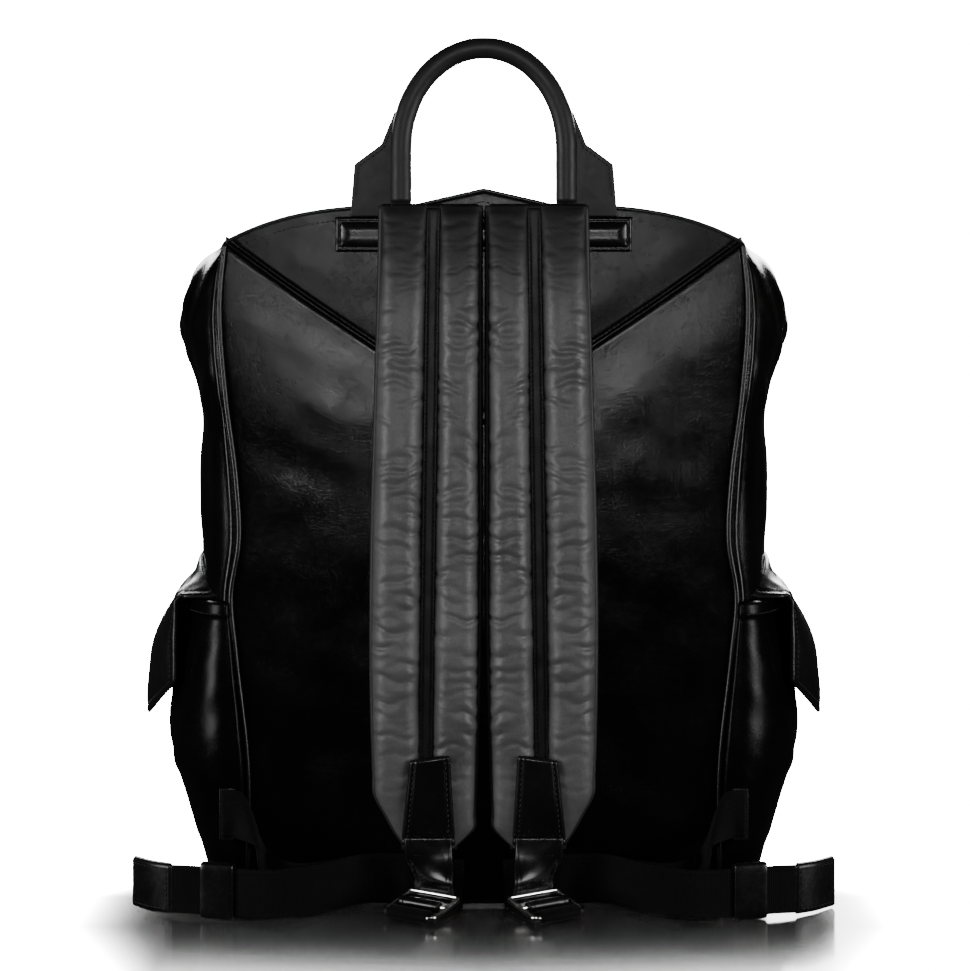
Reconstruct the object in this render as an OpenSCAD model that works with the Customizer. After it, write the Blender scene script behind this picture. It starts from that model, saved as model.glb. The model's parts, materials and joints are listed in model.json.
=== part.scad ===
// Leather backpack with two padded shoulder straps, a rolled top handle, a recessed top zip,
// two side pockets and a front pocket. Millimetres, +Z up, the wearer's back towards -Y.
// The origin is the middle of the base, on the surface that the bag stands on.

/* [Body] */
// Height of the four top corners
corner_h = 430; // [420:1:434]
// Rise of the curved hem between its corners
hem_rise = 24; // [18:1:26]
// Extra rise of the small peak in the middle of each hem
peak_rise = 10; // [4:1:14]
// Width of the back panel between its top corners
panel_w = 336; // [326:1:340]
// Thickness of the leather walls
leather_t = 2.5; // [2:0.1:3]
// Height of the point of the V seam
v_point = 312; // [290:1:325]

/* [Handle] */
// Diameter of the rolled grip
grip_d = 14; // [12:0.5:15]
// Distance between the two legs of the grip
grip_span = 107; // [100:1:110]
// Height of the middle line of the grip at its top
grip_top = 555; // [540:1:560]

/* [Shoulder straps] */
// Thickness of the padding
pad_t = 14; // [11:0.5:15]
// Width of the stitched channel between the two pads
channel_w = 10; // [8:0.5:11]
// Width of the webbing and of the leather bands
web_w = 30; // [28:0.5:31]
// Thickness of the webbing
web_t = 1.6; // [1.2:0.1:1.7]

/* [Pockets] */
// Height of the rim of the side pockets
side_rim_h = 194; // [185:1:195]
// Half of the width of the front pocket
front_pocket_w = 104; // [90:1:106]
// Height of the rim of the front pocket
front_rim_h = 200; // [190:1:204]

/* [Hidden] */

gap = 0.2;          // between pieces that are sewn together
base_t = 4;         // base leather with its folded edge
foam_t = 5;
binding_h = 2;
half_w = panel_w / 2;
leather = [0.07, 0.07, 0.075];
smooth_leather = [0.10, 0.10, 0.105];
fabric = [0.16, 0.15, 0.15];
foam = [0.55, 0.55, 0.52];
metal = [0.75, 0.75, 0.77];

// ---------------------------------------------------------------- shape of the bag
// Half width of the back and front panels, depth of each face, and half width at the side fold
function panel_x(z) = half_w / 168 * lookup(z, [[0, 153], [90, 152], [165, 160], [200, 163],
    [235, 158], [276, 160], [330, 167], [395, 171], [430, 168], [470, 166]]);
function back_y(z) = -lookup(z, [[0, 77], [60, 82], [150, 83], [300, 79], [430, 73], [470, 70]]);
function front_y(z) = lookup(z, [[0, 76], [60, 83], [150, 85], [250, 79], [340, 66], [430, 50], [470, 46]]);
function fold_x(z) = lookup(z, [[0, 182], [60, 188], [200, 191], [290, 191], [318, 190], [345, 199],
    [380, 208], [400, 202], [418, 190], [430, 173], [470, 170]]);
function mid_y(z) = (front_y(z) + back_y(z)) / 2;
function half_depth(z) = (front_y(z) - back_y(z)) / 2;

// A point of the side wall: turn 0 is the back seam, 180 the front seam, inset is measured inwards
function side_point(turn, z, inset) = [
    panel_x(z) + (fold_x(z) - panel_x(z) - inset) * sin(turn),
    mid_y(z) - (half_depth(z) - inset) * cos(turn),
    z
];
// Outward direction of the side wall
function side_normal(turn, z) = let (
    n = [sin(turn) / (fold_x(z) - panel_x(z)), -cos(turn) / half_depth(z), 0]
) n / norm(n);

// Hem of both panels, and the V seam, at a share u of the half width
function hem_z(u) = corner_h + hem_rise * (1 - pow(u, 4)) + peak_rise * max(0, 1 - abs(u * half_w) / 44);
function seam_z(u) = v_point + (corner_h - 2 - v_point) * abs(u);

// ---------------------------------------------------------------- solids from nets of points
function net(f, nu, nv) = [for (j = [0:nv]) for (i = [0:nu]) f(i / nu, j / nv)];

// A sheet between two nets of the same size
module sheet(outer, inner, nu, nv) {
    n = (nu + 1) * (nv + 1);
    function at(i, j) = j * (nu + 1) + i;
    function quad(a, b, c, d) = [[a, b, c], [a, c, d]];
    cells = [for (j = [0:nv - 1]) for (i = [0:nu - 1]) [at(i, j), at(i + 1, j), at(i + 1, j + 1), at(i, j + 1)]];
    rim = concat(
        [for (i = [0:nu - 1]) [at(i, 0), at(i + 1, 0)]],
        [for (j = [0:nv - 1]) [at(nu, j), at(nu, j + 1)]],
        [for (i = [nu:-1:1]) [at(i, nv), at(i - 1, nv)]],
        [for (j = [nv:-1:1]) [at(0, j), at(0, j - 1)]]
    );
    polyhedron(
        points = concat(outer, inner),
        faces = concat(
            [for (c = cells) each quad(c[3], c[2], c[1], c[0])],
            [for (c = cells) each quad(c[0] + n, c[1] + n, c[2] + n, c[3] + n)],
            [for (r = rim) each quad(r[0], r[1], r[1] + n, r[0] + n)]
        ),
        convexity = 8
    );
}

// A solid through rings of points, closed at both ends
module skin(rings) {
    n = len(rings[0]);
    m = len(rings);
    polyhedron(
        points = [for (r = rings) each r],
        faces = concat(
            [for (k = [0:m - 2]) for (i = [0:n - 1]) let (a = k * n + i, b = k * n + (i + 1) % n)
                each [[a, b + n, b], [a, a + n, b + n]]],
            [for (i = [1:n - 2]) [0, i, i + 1]],
            [for (i = [1:n - 2]) [(m - 1) * n, (m - 1) * n + i + 1, (m - 1) * n + i]]
        ),
        convexity = 8
    );
}

// A pipe between two sets of rings, open at both ends
module pipe(outer, inner) {
    n = len(outer[0]);
    m = len(outer);
    total = n * m;
    polyhedron(
        points = concat([for (r = outer) each r], [for (r = inner) each r]),
        faces = [for (i = [0:n - 1]) let (j = (i + 1) % n, e = (m - 1) * n) each concat(
            [for (k = [0:m - 2]) let (a = k * n + i, b = k * n + j)
                each [[a, b + n, b], [a, a + n, b + n],
                      [a + total, b + total, b + n + total], [a + total, b + n + total, a + n + total]]],
            [[i, j + total, i + total], [i, j, j + total]],
            [[e + i, e + i + total, e + j + total], [e + i, e + j + total, e + j]]
        )],
        convexity = 8
    );
}

module both_sides() {
    children();
    mirror([1, 0, 0]) children();
}

// ---------------------------------------------------------------- panels
// A stretch of the back (face -1) or front (face 1) wall between two heights, from inset a to inset b
module wall_sheet(face, low, high, a, b, nu, nv, share = 1) {
    y = function (z) face < 0 ? back_y(z) : front_y(z);
    point = function (inset) function (s, t) let (
        u = (2 * s - 1) * share,
        z = low(u) + (high(u) - low(u)) * t
    ) [u * panel_x(z), y(z) - face * inset, z];
    if (face < 0) sheet(net(point(a), nu, nv), net(point(b), nu, nv), nu, nv);
    else sheet(net(point(b), nu, nv), net(point(a), nu, nv), nu, nv);
}

yoke_lap = 1.5;     // how far the yokes stand proud of the panels below them
hem_low = function (u) hem_z(u) - binding_h;

module back_panel() color(leather)
    wall_sheet(-1, function (u) base_t, function (u) seam_z(u), 0, leather_t, 20, 20);
module back_yoke() color(smooth_leather)
    wall_sheet(-1, function (u) seam_z(u), hem_low, -yoke_lap, leather_t, 20, 4);
module back_foam() color(foam)
    wall_sheet(-1, function (u) 12, function (u) hem_z(u) - 14, leather_t + 0.8, leather_t + 0.8 + foam_t, 10, 16, 0.95);
module front_panel() color(leather)
    wall_sheet(1, function (u) base_t, function (u) seam_z(u), 0, leather_t, 20, 20);
module front_yoke() color(smooth_leather)
    wall_sheet(1, function (u) seam_z(u), hem_low, -yoke_lap, leather_t, 20, 4);

module hem_bindings() color(leather)
    for (face = [-1, 1])
        wall_sheet(face, hem_low, function (u) hem_z(u), -yoke_lap - 1, leather_t + 1, 20, 1);

// The right gusset: a wall that folds outwards, most of all in the ear near the top
module gusset() color(leather) {
    point = function (inset) function (s, t)
        side_point(180 * s, base_t + (seam_z(1) - base_t) * t, inset) + [gap, 0, 0];
    sheet(net(point(0), 12, 20), net(point(leather_t), 12, 20), 12, 20);
}

module back_piping() color(leather) both_sides() {
    r = 1.3;
    levels = [for (k = [0:24]) base_t + 4 + (corner_h - base_t - 8) * k / 24];
    skin([for (z = levels) [for (a = [0:60:300])
        [panel_x(z) + 0.4 + r * cos(a), back_y(z) - r - gap / 2 + r * sin(a), z]]]);
}

// Closed outline of the bag at one height
function outline(z, inset_back, inset_front, inset_side) = let (
    yb = back_y(z) + inset_back,
    yf = front_y(z) - inset_front,
    side = [for (a = [0:15:180]) [
        panel_x(z) - 0.5 + (fold_x(z) - panel_x(z) - inset_side) * sin(a),
        (yb + yf) / 2 - (yf - yb) / 2 * cos(a)
    ]]
) concat(side, [for (k = [len(side) - 1:-1:0]) [-side[k][0], side[k][1]]]);

module base_panel() color(leather)
    linear_extrude(base_t) polygon(outline(0, 0, 0, 0));
module base_board() color(fabric)
    translate([0, 0, base_t + gap]) linear_extrude(2.5) polygon(outline(0, 12, 7, 8));

// Fabric bag inside the leather one, closed at the bottom
module lining() color(fabric) {
    levels = concat([base_t + 4], [for (k = [1:19]) base_t + (seam_z(1) - base_t) * k / 20]);
    in_back = leather_t + foam_t + 1.9;
    in_wall = leather_t + 1;
    ring = function (z, more)
        [for (p = outline(z, in_back + more, in_wall + more, in_wall + more)) [p[0], p[1], z]];
    pipe(concat([for (z = levels) ring(z, 0)], [ring(419, 8)]), concat([for (z = levels) ring(z, 0.8)], [ring(419, 8.8)]));
    translate([0, 0, base_t + 3]) linear_extrude(0.8) polygon(outline(0, in_back + 6, in_wall + 6, in_wall + 6));
}

// ---------------------------------------------------------------- recessed top zip
zip_z = 421.5;      // height of the middle of the zip
zip_y = -8.8;       // middle line of the zip
mouth_x = 122;      // half length of the mouth that the zip opens
mouth_back = -60;
mouth_front = 43;
park_x = 130;       // where the slider stands at either end
facing_t = 2.5;
slot = 1.6;         // between the two rows of teeth

module top_strip(x0, x1, y0, y1) intersection() {
    translate([0, 0, zip_z - facing_t / 2]) linear_extrude(facing_t)
        polygon(outline(zip_z, leather_t + foam_t + 1.2, leather_t + 1.2, leather_t + 1.2));
    translate([x0, y0, zip_z - 5]) cube([x1 - x0, y1 - y0, 10]);
}
module top_frame() color(leather) {
    top_strip(-200, 200, -80, mouth_back - 1.8);
    top_strip(-200, 200, mouth_front + 1.8, 60);
    both_sides() {
        difference() {
            top_strip(mouth_x + 1.5, 162, mouth_back - 1.6, mouth_front + 1.6);
            translate([mouth_x, zip_y - 5.5, zip_z - 5]) cube([15, 11, 10]);
        }
        translate([mouth_x + 2, zip_y - 5.3, zip_z - 4.6]) cube([12.5, 10.6, 0.8]);
    }
}

// Leather strip that one half of the zip is sewn to
module zip_facing_back() color(smooth_leather)
    translate([-mouth_x, mouth_back, zip_z - facing_t / 2]) cube([2 * mouth_x, 36, facing_t]);
module zip_facing_front() color(smooth_leather)
    translate([-mouth_x, mouth_front - 36, zip_z - facing_t / 2]) cube([2 * mouth_x, 36, facing_t]);

// Tape with its row of teeth; face -1 is the back half
module zip_tape(face) {
    edge = (face < 0 ? mouth_back + 36 : mouth_front - 36) + face * -gap / 2;
    row = zip_y + face * slot / 2;
    color(fabric)
        translate([-mouth_x, min(edge, row + face * 2), zip_z - 0.4])
            cube([2 * mouth_x, abs(row + face * 2 - edge), 0.8]);
    color(metal)
        translate([-mouth_x, min(row, row + face * 2.1), zip_z - 1.2])
            cube([2 * mouth_x, 2.1, 2.4]);
}

module zip_slider() color(metal) translate([-park_x, zip_y, zip_z]) {
    for (z = [1.6, -3]) translate([-5, -4.5, z]) cube([10, 9, 1.4]);
    translate([-5, -0.5, -1.7]) cube([10, 1, 3.4]);
    difference() {
        translate([-2, -1.5, 2.9]) cube([4, 3, 3.6]);
        translate([0, 0, 4.9]) rotate([90, 0, 0]) cylinder(r = 1.2, h = 10, center = true, $fn = 32);
    }
}

module zip_pull() translate([-park_x, zip_y, zip_z + 4.9]) {
    color(metal) {
        rotate([90, 0, 0]) cylinder(r = 1, h = 6.6, center = true, $fn = 32);
        for (y = [-3.3, 2]) translate([-8, y, -1.1]) cube([9.2, 1.3, 2.2]);
        translate([-9, -3.3, -1.1]) cube([2, 6.6, 2.2]);
    }
    color(smooth_leather) translate([-29, -5, -1.2]) cube([20.2, 10, 2.4]);
}

// ---------------------------------------------------------------- top handle
leg_x = grip_span / 2;
grip_y = -81;
root_z = 456;       // line on which the handle bends
arch_z = 490;       // where the straight legs end and the arch starts
wing_x = 87;        // outer edge of the flat wings at the foot

// Middle line of the grip: straight legs and a half ellipse
grip_line = concat(
    [[leg_x, root_z], [leg_x, (root_z + arch_z) / 2]],
    [for (a = [0:9:180]) [leg_x * cos(a), arch_z + (grip_top - arch_z) * sin(a)]],
    [[-leg_x, (root_z + arch_z) / 2], [-leg_x, root_z]]
);

// Rings of radius r round the middle line
function grip_rings(r) = [for (k = [0:len(grip_line) - 1]) let (
    p = grip_line[k],
    q = grip_line[min(k + 1, len(grip_line) - 1)] - grip_line[max(k - 1, 0)],
    out = [q[1], -q[0]] / norm(q)
) [for (a = [0:30:330]) [p[0] + r * cos(a) * out[0], grip_y + r * sin(a), p[1] + r * cos(a) * out[1]]]];

module handle_grip() color(smooth_leather)
    pipe(grip_rings(grip_d / 2), grip_rings(grip_d / 2 - 1.8));
module handle_core() color(foam)
    skin(grip_rings(grip_d / 2 - 2));

// Flat leather that closes the roll and widens into a wing at each foot
wing_y = -75;
module handle_wings() color(smooth_leather) both_sides() difference() {
    translate([0, wing_y - 3, 0]) rotate([90, 0, 0]) mirror([0, 0, 1]) linear_extrude(2.8)
        polygon([
            [leg_x, root_z], [wing_x - 1, root_z], [wing_x - 3, 480],
            [leg_x + 11.5, 494], [leg_x + 6, 512], [leg_x, 500]
        ]);
    skin(grip_rings(grip_d / 2 + gap));
}
module handle_roots() color(smooth_leather) both_sides()
    translate([0, wing_y - 3, 0]) rotate([90, 0, 0]) mirror([0, 0, 1]) linear_extrude(2.8)
        polygon([[leg_x - 7, 446], [wing_x, 446], [wing_x - 1, root_z - 2], [leg_x - 7, root_z - 2]]);

module handle_patch() color(smooth_leather)
    sheet(
        net(function (s, t) [96 * (2 * s - 1), -75.4 - 2.6 * sin(180 * t), 423.5 + 22 * t], 8, 6),
        net(function (s, t) [96 * (2 * s - 1), back_y(423.5 + 22 * t) - yoke_lap - gap, 423.5 + 22 * t], 8, 6),
        8, 6
    );

// ---------------------------------------------------------------- pockets and their flaps
// How far the side pocket stands off the gusset, and the front pocket off the front wall
function side_bulge(z) = lookup(z, [[16, 0.5], [38, 2], [51, 4], [77, 11], [103, 18], [129, 20], [155, 18], [170, 14], [196, 6.5]]);
function front_bulge(u, z) = (1 - pow(abs(u), 6)) * lookup(z, [[26, 0.5], [40, 18], [70, 34], [130, 38], [205, 28]]);

function side_pocket_point(turn, z, off) =
    side_point(turn, z, 0) + side_normal(turn, z) * (gap + side_bulge(z) * pow(sin(turn), 0.7) + off);

module side_pocket() color(leather) {
    point = function (off) function (s, t)
        side_pocket_point(6 + 168 * s, 16 + (side_rim_h - 16) * t, off);
    sheet(net(point(leather_t), 14, 12), net(point(0), 14, 12), 14, 12);
}

function front_pocket_point(s, z, off) = let (u = -cos(180 * s))
    [u * front_pocket_w, front_y(z) + gap + front_bulge(u, z) + off, z];

module front_pocket() color(leather) {
    point = function (off) function (s, t)
        front_pocket_point(s, 26 + (front_rim_h - 26) * t, off);
    sheet(net(point(0), 18, 12), net(point(leather_t), 18, 12), 18, 12);
}

module pocket_hems() color(smooth_leather) {
    h = 2;
    both_sides() {
        point = function (off) function (s, t)
            side_pocket_point(8 + 164 * s, side_rim_h, off) + [0, 0, h * t];
        sheet(net(point(leather_t + 0.3), 12, 1), net(point(0), 12, 1), 12, 1);
    }
    point = function (off) function (s, t)
        front_pocket_point(0.02 + 0.96 * s, front_rim_h, off) + [0, 0, h * t];
    sheet(net(point(0), 18, 1), net(point(leather_t + 0.6), 18, 1), 18, 1);
}

flap_t = 2.8;
side_hinge = [198, 0, 203];         // line along Y on which a side flap lifts
side_flap_y = [-64, 64];            // the two ends of a side flap
front_hinge_z = 211;
front_hinge_y = 88;
flap_gap = 2.8;                     // from a hinge line to the root that the flap hangs from
// Outer side of each flap, from the hinge to the free edge: distance out from the hinge line, and height
side_flap_line = [[0.5, 1.5], [5.5, -2.5], [13, -14], [18.5, -23], [22.5, -31], [26.5, -42], [28.7, -53], [30, -72], [30.3, -90]];
front_flap_line = [[0.5, 1.5], [18, 3], [34, 0], [41, -8], [44, -22], [45.5, -42], [46, -62], [45, -84]];

// Direction at right angles to a flap's line, towards the pocket
function line_inwards(line, k) = let (
    d = line[min(k + 1, len(line) - 1)] - line[max(k - 1, 0)]
) [d[1], -d[0]] / norm(d);

// A side flap is a shell: its ends hug the pocket, its middle stands off and ends in a point
function flap_droop(s) = -5 * pow(abs(2 * s - 1), 3);
module side_flap() color(smooth_leather) {
    n = len(side_flap_line) - 1;
    point = function (depth) function (s, t) let (
        k = round(t * n),
        p = side_flap_line[k],
        q = line_inwards(side_flap_line, k) * depth,
        e = min(p[0], 4.6),
        out = e + (p[0] - e) * (1 - pow(abs(2 * s - 1), 2.2)),
        reach = 1 - 0.42 * abs(2 * s - 1),
        h = p[1] < -8 ? -8 + (p[1] + 8) * reach : p[1]
    ) [side_hinge[0] + out + q[0], side_flap_y[0] + (side_flap_y[1] - side_flap_y[0]) * s,
        side_hinge[2] + h + q[1] + flap_droop(s)];
    sheet(net(point(flap_t), 12, n), net(point(0), 12, n), 12, n);
}

// The front flap ends in a shallow point
module front_flap() color(smooth_leather) {
    n = len(front_flap_line) - 1;
    point = function (depth) function (s, t) let (
        k = round(t * n),
        p = front_flap_line[k] + line_inwards(front_flap_line, k) * depth,
        x = 108 * (2 * s - 1),
        reach = 1 - 0.28 * abs(2 * s - 1)
    ) [x, front_hinge_y + p[0], front_hinge_z + (p[1] < -8 ? -8 + (p[1] + 8) * reach : p[1])];
    sheet(net(point(0), 8, n), net(point(flap_t), 8, n), 8, n);
}

// The sewn edge that each flap hangs from
module flap_roots() color(smooth_leather) {
    root = function (outer) function (s, t) let (
        y = side_flap_y[0] + (side_flap_y[1] - side_flap_y[0]) * s,
        turn = acos(max(-1, (mid_y(200) - y) / half_depth(200))),
        x = side_point(turn, 200, 0)[0] + gap + 0.7,
        mid = 1 - pow(abs(2 * s - 1), 2),
        z = side_hinge[2] + 1.5 + flap_droop(s),
        top = [x + outer * 2.4 * mid, z + 20 * mid - (1 - outer) * 2.8 * (1 - mid)],
        low = [side_hinge[0] - flap_gap, z - (1 - outer) * 2.8]
    ) [top[0] + (low[0] - top[0]) * t, y, top[1] + (low[1] - top[1]) * t];
    both_sides() sheet(net(root(0), 12, 1), net(root(1), 12, 1), 12, 1);
    y = front_y(front_hinge_z - 1.5) + gap;
    translate([-108, y, front_hinge_z - 1.3]) cube([216, front_hinge_y - flap_gap - y, flap_t]);
}

// Magnetic snaps: a socket on each pocket and a cap inside each flap
snap_r = 7;
side_snap_z = 142;
front_snap_z = 142;
module snap_disc(h) cylinder(r = snap_r, h = h, $fn = 48);

module snap_sockets() color(metal) {
    both_sides() translate([side_pocket_point(90, side_snap_z, leather_t)[0] + 0.7, 0, side_snap_z])
        rotate([0, 90, 0]) snap_disc(1.2);
    translate([0, front_pocket_point(0.5, front_snap_z, leather_t)[1] + 1, front_snap_z])
        rotate([-90, 0, 0]) snap_disc(1.2);
}
module side_snap_cap() color(metal)
    translate([side_hinge[0] + 24.35, 0, side_snap_z]) rotate([0, 90, 0]) snap_disc(1.5);
module snap_cap_front() color(metal)
    translate([0, front_pocket_point(0.5, front_snap_z, leather_t)[1] + 2.5, front_snap_z])
        rotate([-90, 0, 0]) snap_disc(4);

// ---------------------------------------------------------------- shoulder straps (right one, mirrored for the left)
strap_base_t = 2.4;
strap_low = 40;
strap_high = 452;
function strap_in(z) = lookup(z, [[40, 19], [52, 7], [452, 2.5]]);
function strap_out(z) = lookup(z, [[46, 54], [73, 69.5], [452, 66]]);
function channel_x(z) = lookup(z, [[40, 38], [452, 32.5]]);
function strap_y(z) = -lookup(z, [[40, 86], [150, 87.5], [300, 84], [400, 81], [452, 80.5]]);
function pad_thickness(z) = pad_t / 14 * lookup(z, [[40, 6], [60, 10], [90, 13], [400, 14], [425, 11], [440, 8], [448, 5], [452, 2]]);
strap_levels = [40, 46, 52, 60, 73, 90, 120, 150, 180, 210, 240, 270, 300, 330, 360, 390, 410, 425, 436, 444, 449, 452];

// Rings of one pad between two edges, inset by a wall
function pad_rings(left, right, inset) = [for (z = strap_levels) let (
    a = max(0.6, (right(z) - left(z)) / 2 - inset),
    b = max(0.3, pad_thickness(z) / 2 - inset),
    y = strap_y(z) - strap_base_t - gap - pad_thickness(z) / 2
) [for (t = [0:30:330]) [
    (left(z) + right(z)) / 2 + a * sign(cos(t)) * pow(abs(cos(t)), 0.7),
    y + b * sign(sin(t)) * pow(abs(sin(t)), 0.7),
    z
]]];
inner_left = function (z) strap_in(z);
inner_right = function (z) channel_x(z) - channel_w / 2;
outer_left = function (z) channel_x(z) + channel_w / 2;
outer_right = function (z) max(strap_out(z), channel_x(z) + channel_w / 2 + 8);

module strap_inner_pad() color(leather)
    pipe(pad_rings(inner_left, inner_right, 0), pad_rings(inner_left, inner_right, 0.9));
module strap_outer_pad() color(leather)
    pipe(pad_rings(outer_left, outer_right, 0), pad_rings(outer_left, outer_right, 0.9));
module strap_foam() color(foam) {
    skin(pad_rings(inner_left, inner_right, 1.1));
    skin(pad_rings(outer_left, outer_right, 1.1));
}

// Leather backing of the strap, and the stitched channel that stands on it
module strap_base() color(leather) {
    edge = function (z, s) strap_in(z) + (outer_right(z) - strap_in(z)) * s;
    n = len(strap_levels) - 1;
    point = function (depth) function (s, t) let (z = strap_levels[round(t * n)])
        [edge(z, s), strap_y(z) - depth, z];
    sheet(net(point(strap_base_t), 2, n), net(point(0), 2, n), 2, n);
    skin([for (z = strap_levels) let (c = channel_x(z), h = min(4, pad_thickness(z) * 0.4), y = strap_y(z) - strap_base_t + 0.3)
        [[c - channel_w / 2 + 0.3, y - h, z], [c + channel_w / 2 - 0.3, y - h, z],
         [c + channel_w / 2 - 0.3, y, z], [c - channel_w / 2 + 0.3, y, z]]]);
}

// Folded leather that ties the top of a strap to the yoke
module strap_roots() color(smooth_leather) both_sides()
    translate([4, -80.2, 431]) cube([62, 1.9, 22]);

band_x = 35.6;                      // middle of the leather band and of the end patch
module strap_patch() color(smooth_leather) {
    half = function (z) lookup(z, [[42, 16], [98, 11.5]]);
    point = function (depth) function (s, t) let (z = 42 + 56 * t)
        [band_x + half(z) * (2 * s - 1), strap_y(z) - strap_base_t - gap - pad_thickness(z) - depth, z];
    sheet(net(point(2), 2, 5), net(point(gap), 2, 5), 2, 5);
}

// ---------------------------------------------------------------- buckle, webbing and keeper
bar = [31.4, -102, 12];             // middle of the buckle's front bar, which the band passes behind
buckle_turn = 34;                   // the buckle's turn about the vertical
buckle_drop = 12;                   // how far its free end dips
buckle_l = 30;                      // from the front bar to the end bar
buckle_w = 41;
mid_bar = [-13, -0.6];              // the bar that the band is looped round, in the buckle's own Y and Z

// Puts the buckle's own frame (X along the bar, -Y towards the free end) in its place
module at_buckle() translate(bar) rotate([0, 0, buckle_turn]) rotate([buckle_drop, 0, 0]) children();
function buckle_point(p) = let (
    c = cos(buckle_drop), s = sin(buckle_drop), ct = cos(buckle_turn), st = sin(buckle_turn),
    y = p[1] * c - p[2] * s,
    z = p[1] * s + p[2] * c
) bar + [p[0] * ct - y * st, p[0] * st + y * ct, z];

// The leather band: a plate down from the end patch, behind the front bar, under it and round the middle bar
band_t = 2.5;
band_top = [band_x, -97.6, 41.6];
module strap_band() color(smooth_leather) {
    at_buckle() rotate([90, 0, 90]) difference() {
        linear_extrude(web_w, center = true) {
            hull() {
                translate(mid_bar) circle(r = 3.7, $fn = 48);
                translate([-4, -4.6]) square([1, 2.3]);
            }
            translate([-3.5, -4.6]) square([3.5 + 1.4 + band_t, 2.3]);
            translate([1.4, -4.6]) square([band_t, 9]);
        }
        translate([mid_bar[0], mid_bar[1], -web_w]) cylinder(r = 1.8, h = 2 * web_w, $fn = 48);
    }
    low = [for (c = [[-1, 0], [-1, 1], [1, 1], [1, 0]])
        buckle_point([c[0] * (web_w / 2 - 0.3), 1.65 + c[1] * (band_t - 0.5), 3])];
    high = [for (c = [[-1, 0], [-1, 1], [1, 1], [1, 0]]) band_top + [c[0] * web_w / 2, (c[1] - 0.5) * band_t, 0]];
    skin([for (k = [0:6]) [for (i = [0:3]) high[i] + (low[i] - high[i]) * k / 6]]);
}

module buckle() color(metal) at_buckle() {
    translate([-buckle_w / 2, -1.1, -1.9]) cube([buckle_w, 2.2, 3.8]);
    translate([0, mid_bar[0], mid_bar[1]]) rotate([0, 90, 0]) cylinder(r = 1.5, h = buckle_w - 2, center = true, $fn = 48);
    translate([0, -buckle_l, 0]) rotate([0, 90, 0]) cylinder(r = 1.6, h = buckle_w - 2, center = true, $fn = 48);
    for (s = [-1, 1]) translate([s * (buckle_w / 2 - 1.2) - 1.2, -buckle_l - 1.6, -1.4]) cube([2.4, buckle_l + 2, 2.8]);
}

// A smooth route through hand-picked stations, each a place and the direction of the ribbon's width
function spline(a, b, c, d, t) = 0.5 * (2 * b + (c - a) * t + (2 * a - 5 * b + 4 * c - d) * t * t
    + (3 * b - 3 * c + d - a) * t * t * t);
function smooth_route(stations, steps) = let (m = len(stations) - 1) [
    for (k = [0:m - 1]) for (i = [0:steps - (k < m - 1 ? 1 : 0)]) let (t = i / steps)
        spline(stations[max(k - 1, 0)], stations[k], stations[k + 1], stations[min(k + 2, m)], t)
];
module ribbon(stations, width, thick, steps = 4) {
    line = smooth_route(stations, steps);
    m = len(line) - 1;
    skin([for (k = [0:m]) let (
        p = [line[k][0], line[k][1], line[k][2]],
        q = line[min(k + 1, m)] - line[max(k - 1, 0)],
        along = [q[0], q[1], q[2]] / norm([q[0], q[1], q[2]]),
        across = [line[k][3], line[k][4], line[k][5]] / norm([line[k][3], line[k][4], line[k][5]]),
        face = cross(along, across) / norm(cross(along, across))
    ) [for (c = [[1, 1], [-1, 1], [-1, -1], [1, -1]])
        p + across * c[0] * width / 2 + face * c[1] * thick / 2]]);
}

// Stations along the webbing: place, then direction of its width. The main run comes down from its
// anchor in the lower corner to the buckle, and the tail doubles back in front of it to a leather tip.
main_run = [
    [168, -89.7, 61, 0, 0, 1], [160, -90, 61, 0, 0, 1], [153, -93.5, 59, 0.1, 0.45, 0.88],
    [148, -97.2, 54, 0.15, 0.8, 0.55], [145, -99, 46, 0.1, 0.97, 0.2], [142.5, -100.3, 37, 0, 0.97, 0.2],
    [138.5, -102.5, 28, 0, 0.8, 0.6], [131, -105.3, 20.8, 0, 0.25, 0.97], [119, -105, 18, 0, 0, 1],
    [107, -101, 17.6, 0, 0, 1], [96, -94.5, 17.8, 0, 0, 1],
    [88, -88.6, 18.2, 0, 0, 1], [80, -83.6, 18.4, 0, 0, 1], [72, -82, 18.5, 0, 0, 1], [62, -81.8, 18.5, 0, 0, 1],
    [43, -81.8, 18.5, 0, 0, 1], [24, -81.8, 18.5, 0, 0, 1]
];
tail_run = [
    [24, -83.8, 18.5, 0, 0, 1], [43, -83.8, 18.5, 0, 0, 1], [62, -83.9, 18.5, 0, 0, 1], [72, -84.3, 18.5, 0, 0, 1],
    [81, -87.4, 18.4, 0, 0, 1], [90, -95, 18.2, 0, 0, 1], [98, -104, 18, 0, 0, 1], [106, -112.5, 18.2, 0, 0, 1],
    [114, -119, 18.5, 0, 0, 1], [123, -124.3, 18.8, 0, 0, 1], [134, -126.3, 18.6, 0, 0, 1], [150.7, -122, 18, 0, 0, 1],
    [168, -117, 18, 0, 0, 1], [185.3, -112, 18, 0, 0, 1], [198.8, -108.1, 17.6, 0, 0, 1]
];
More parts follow.
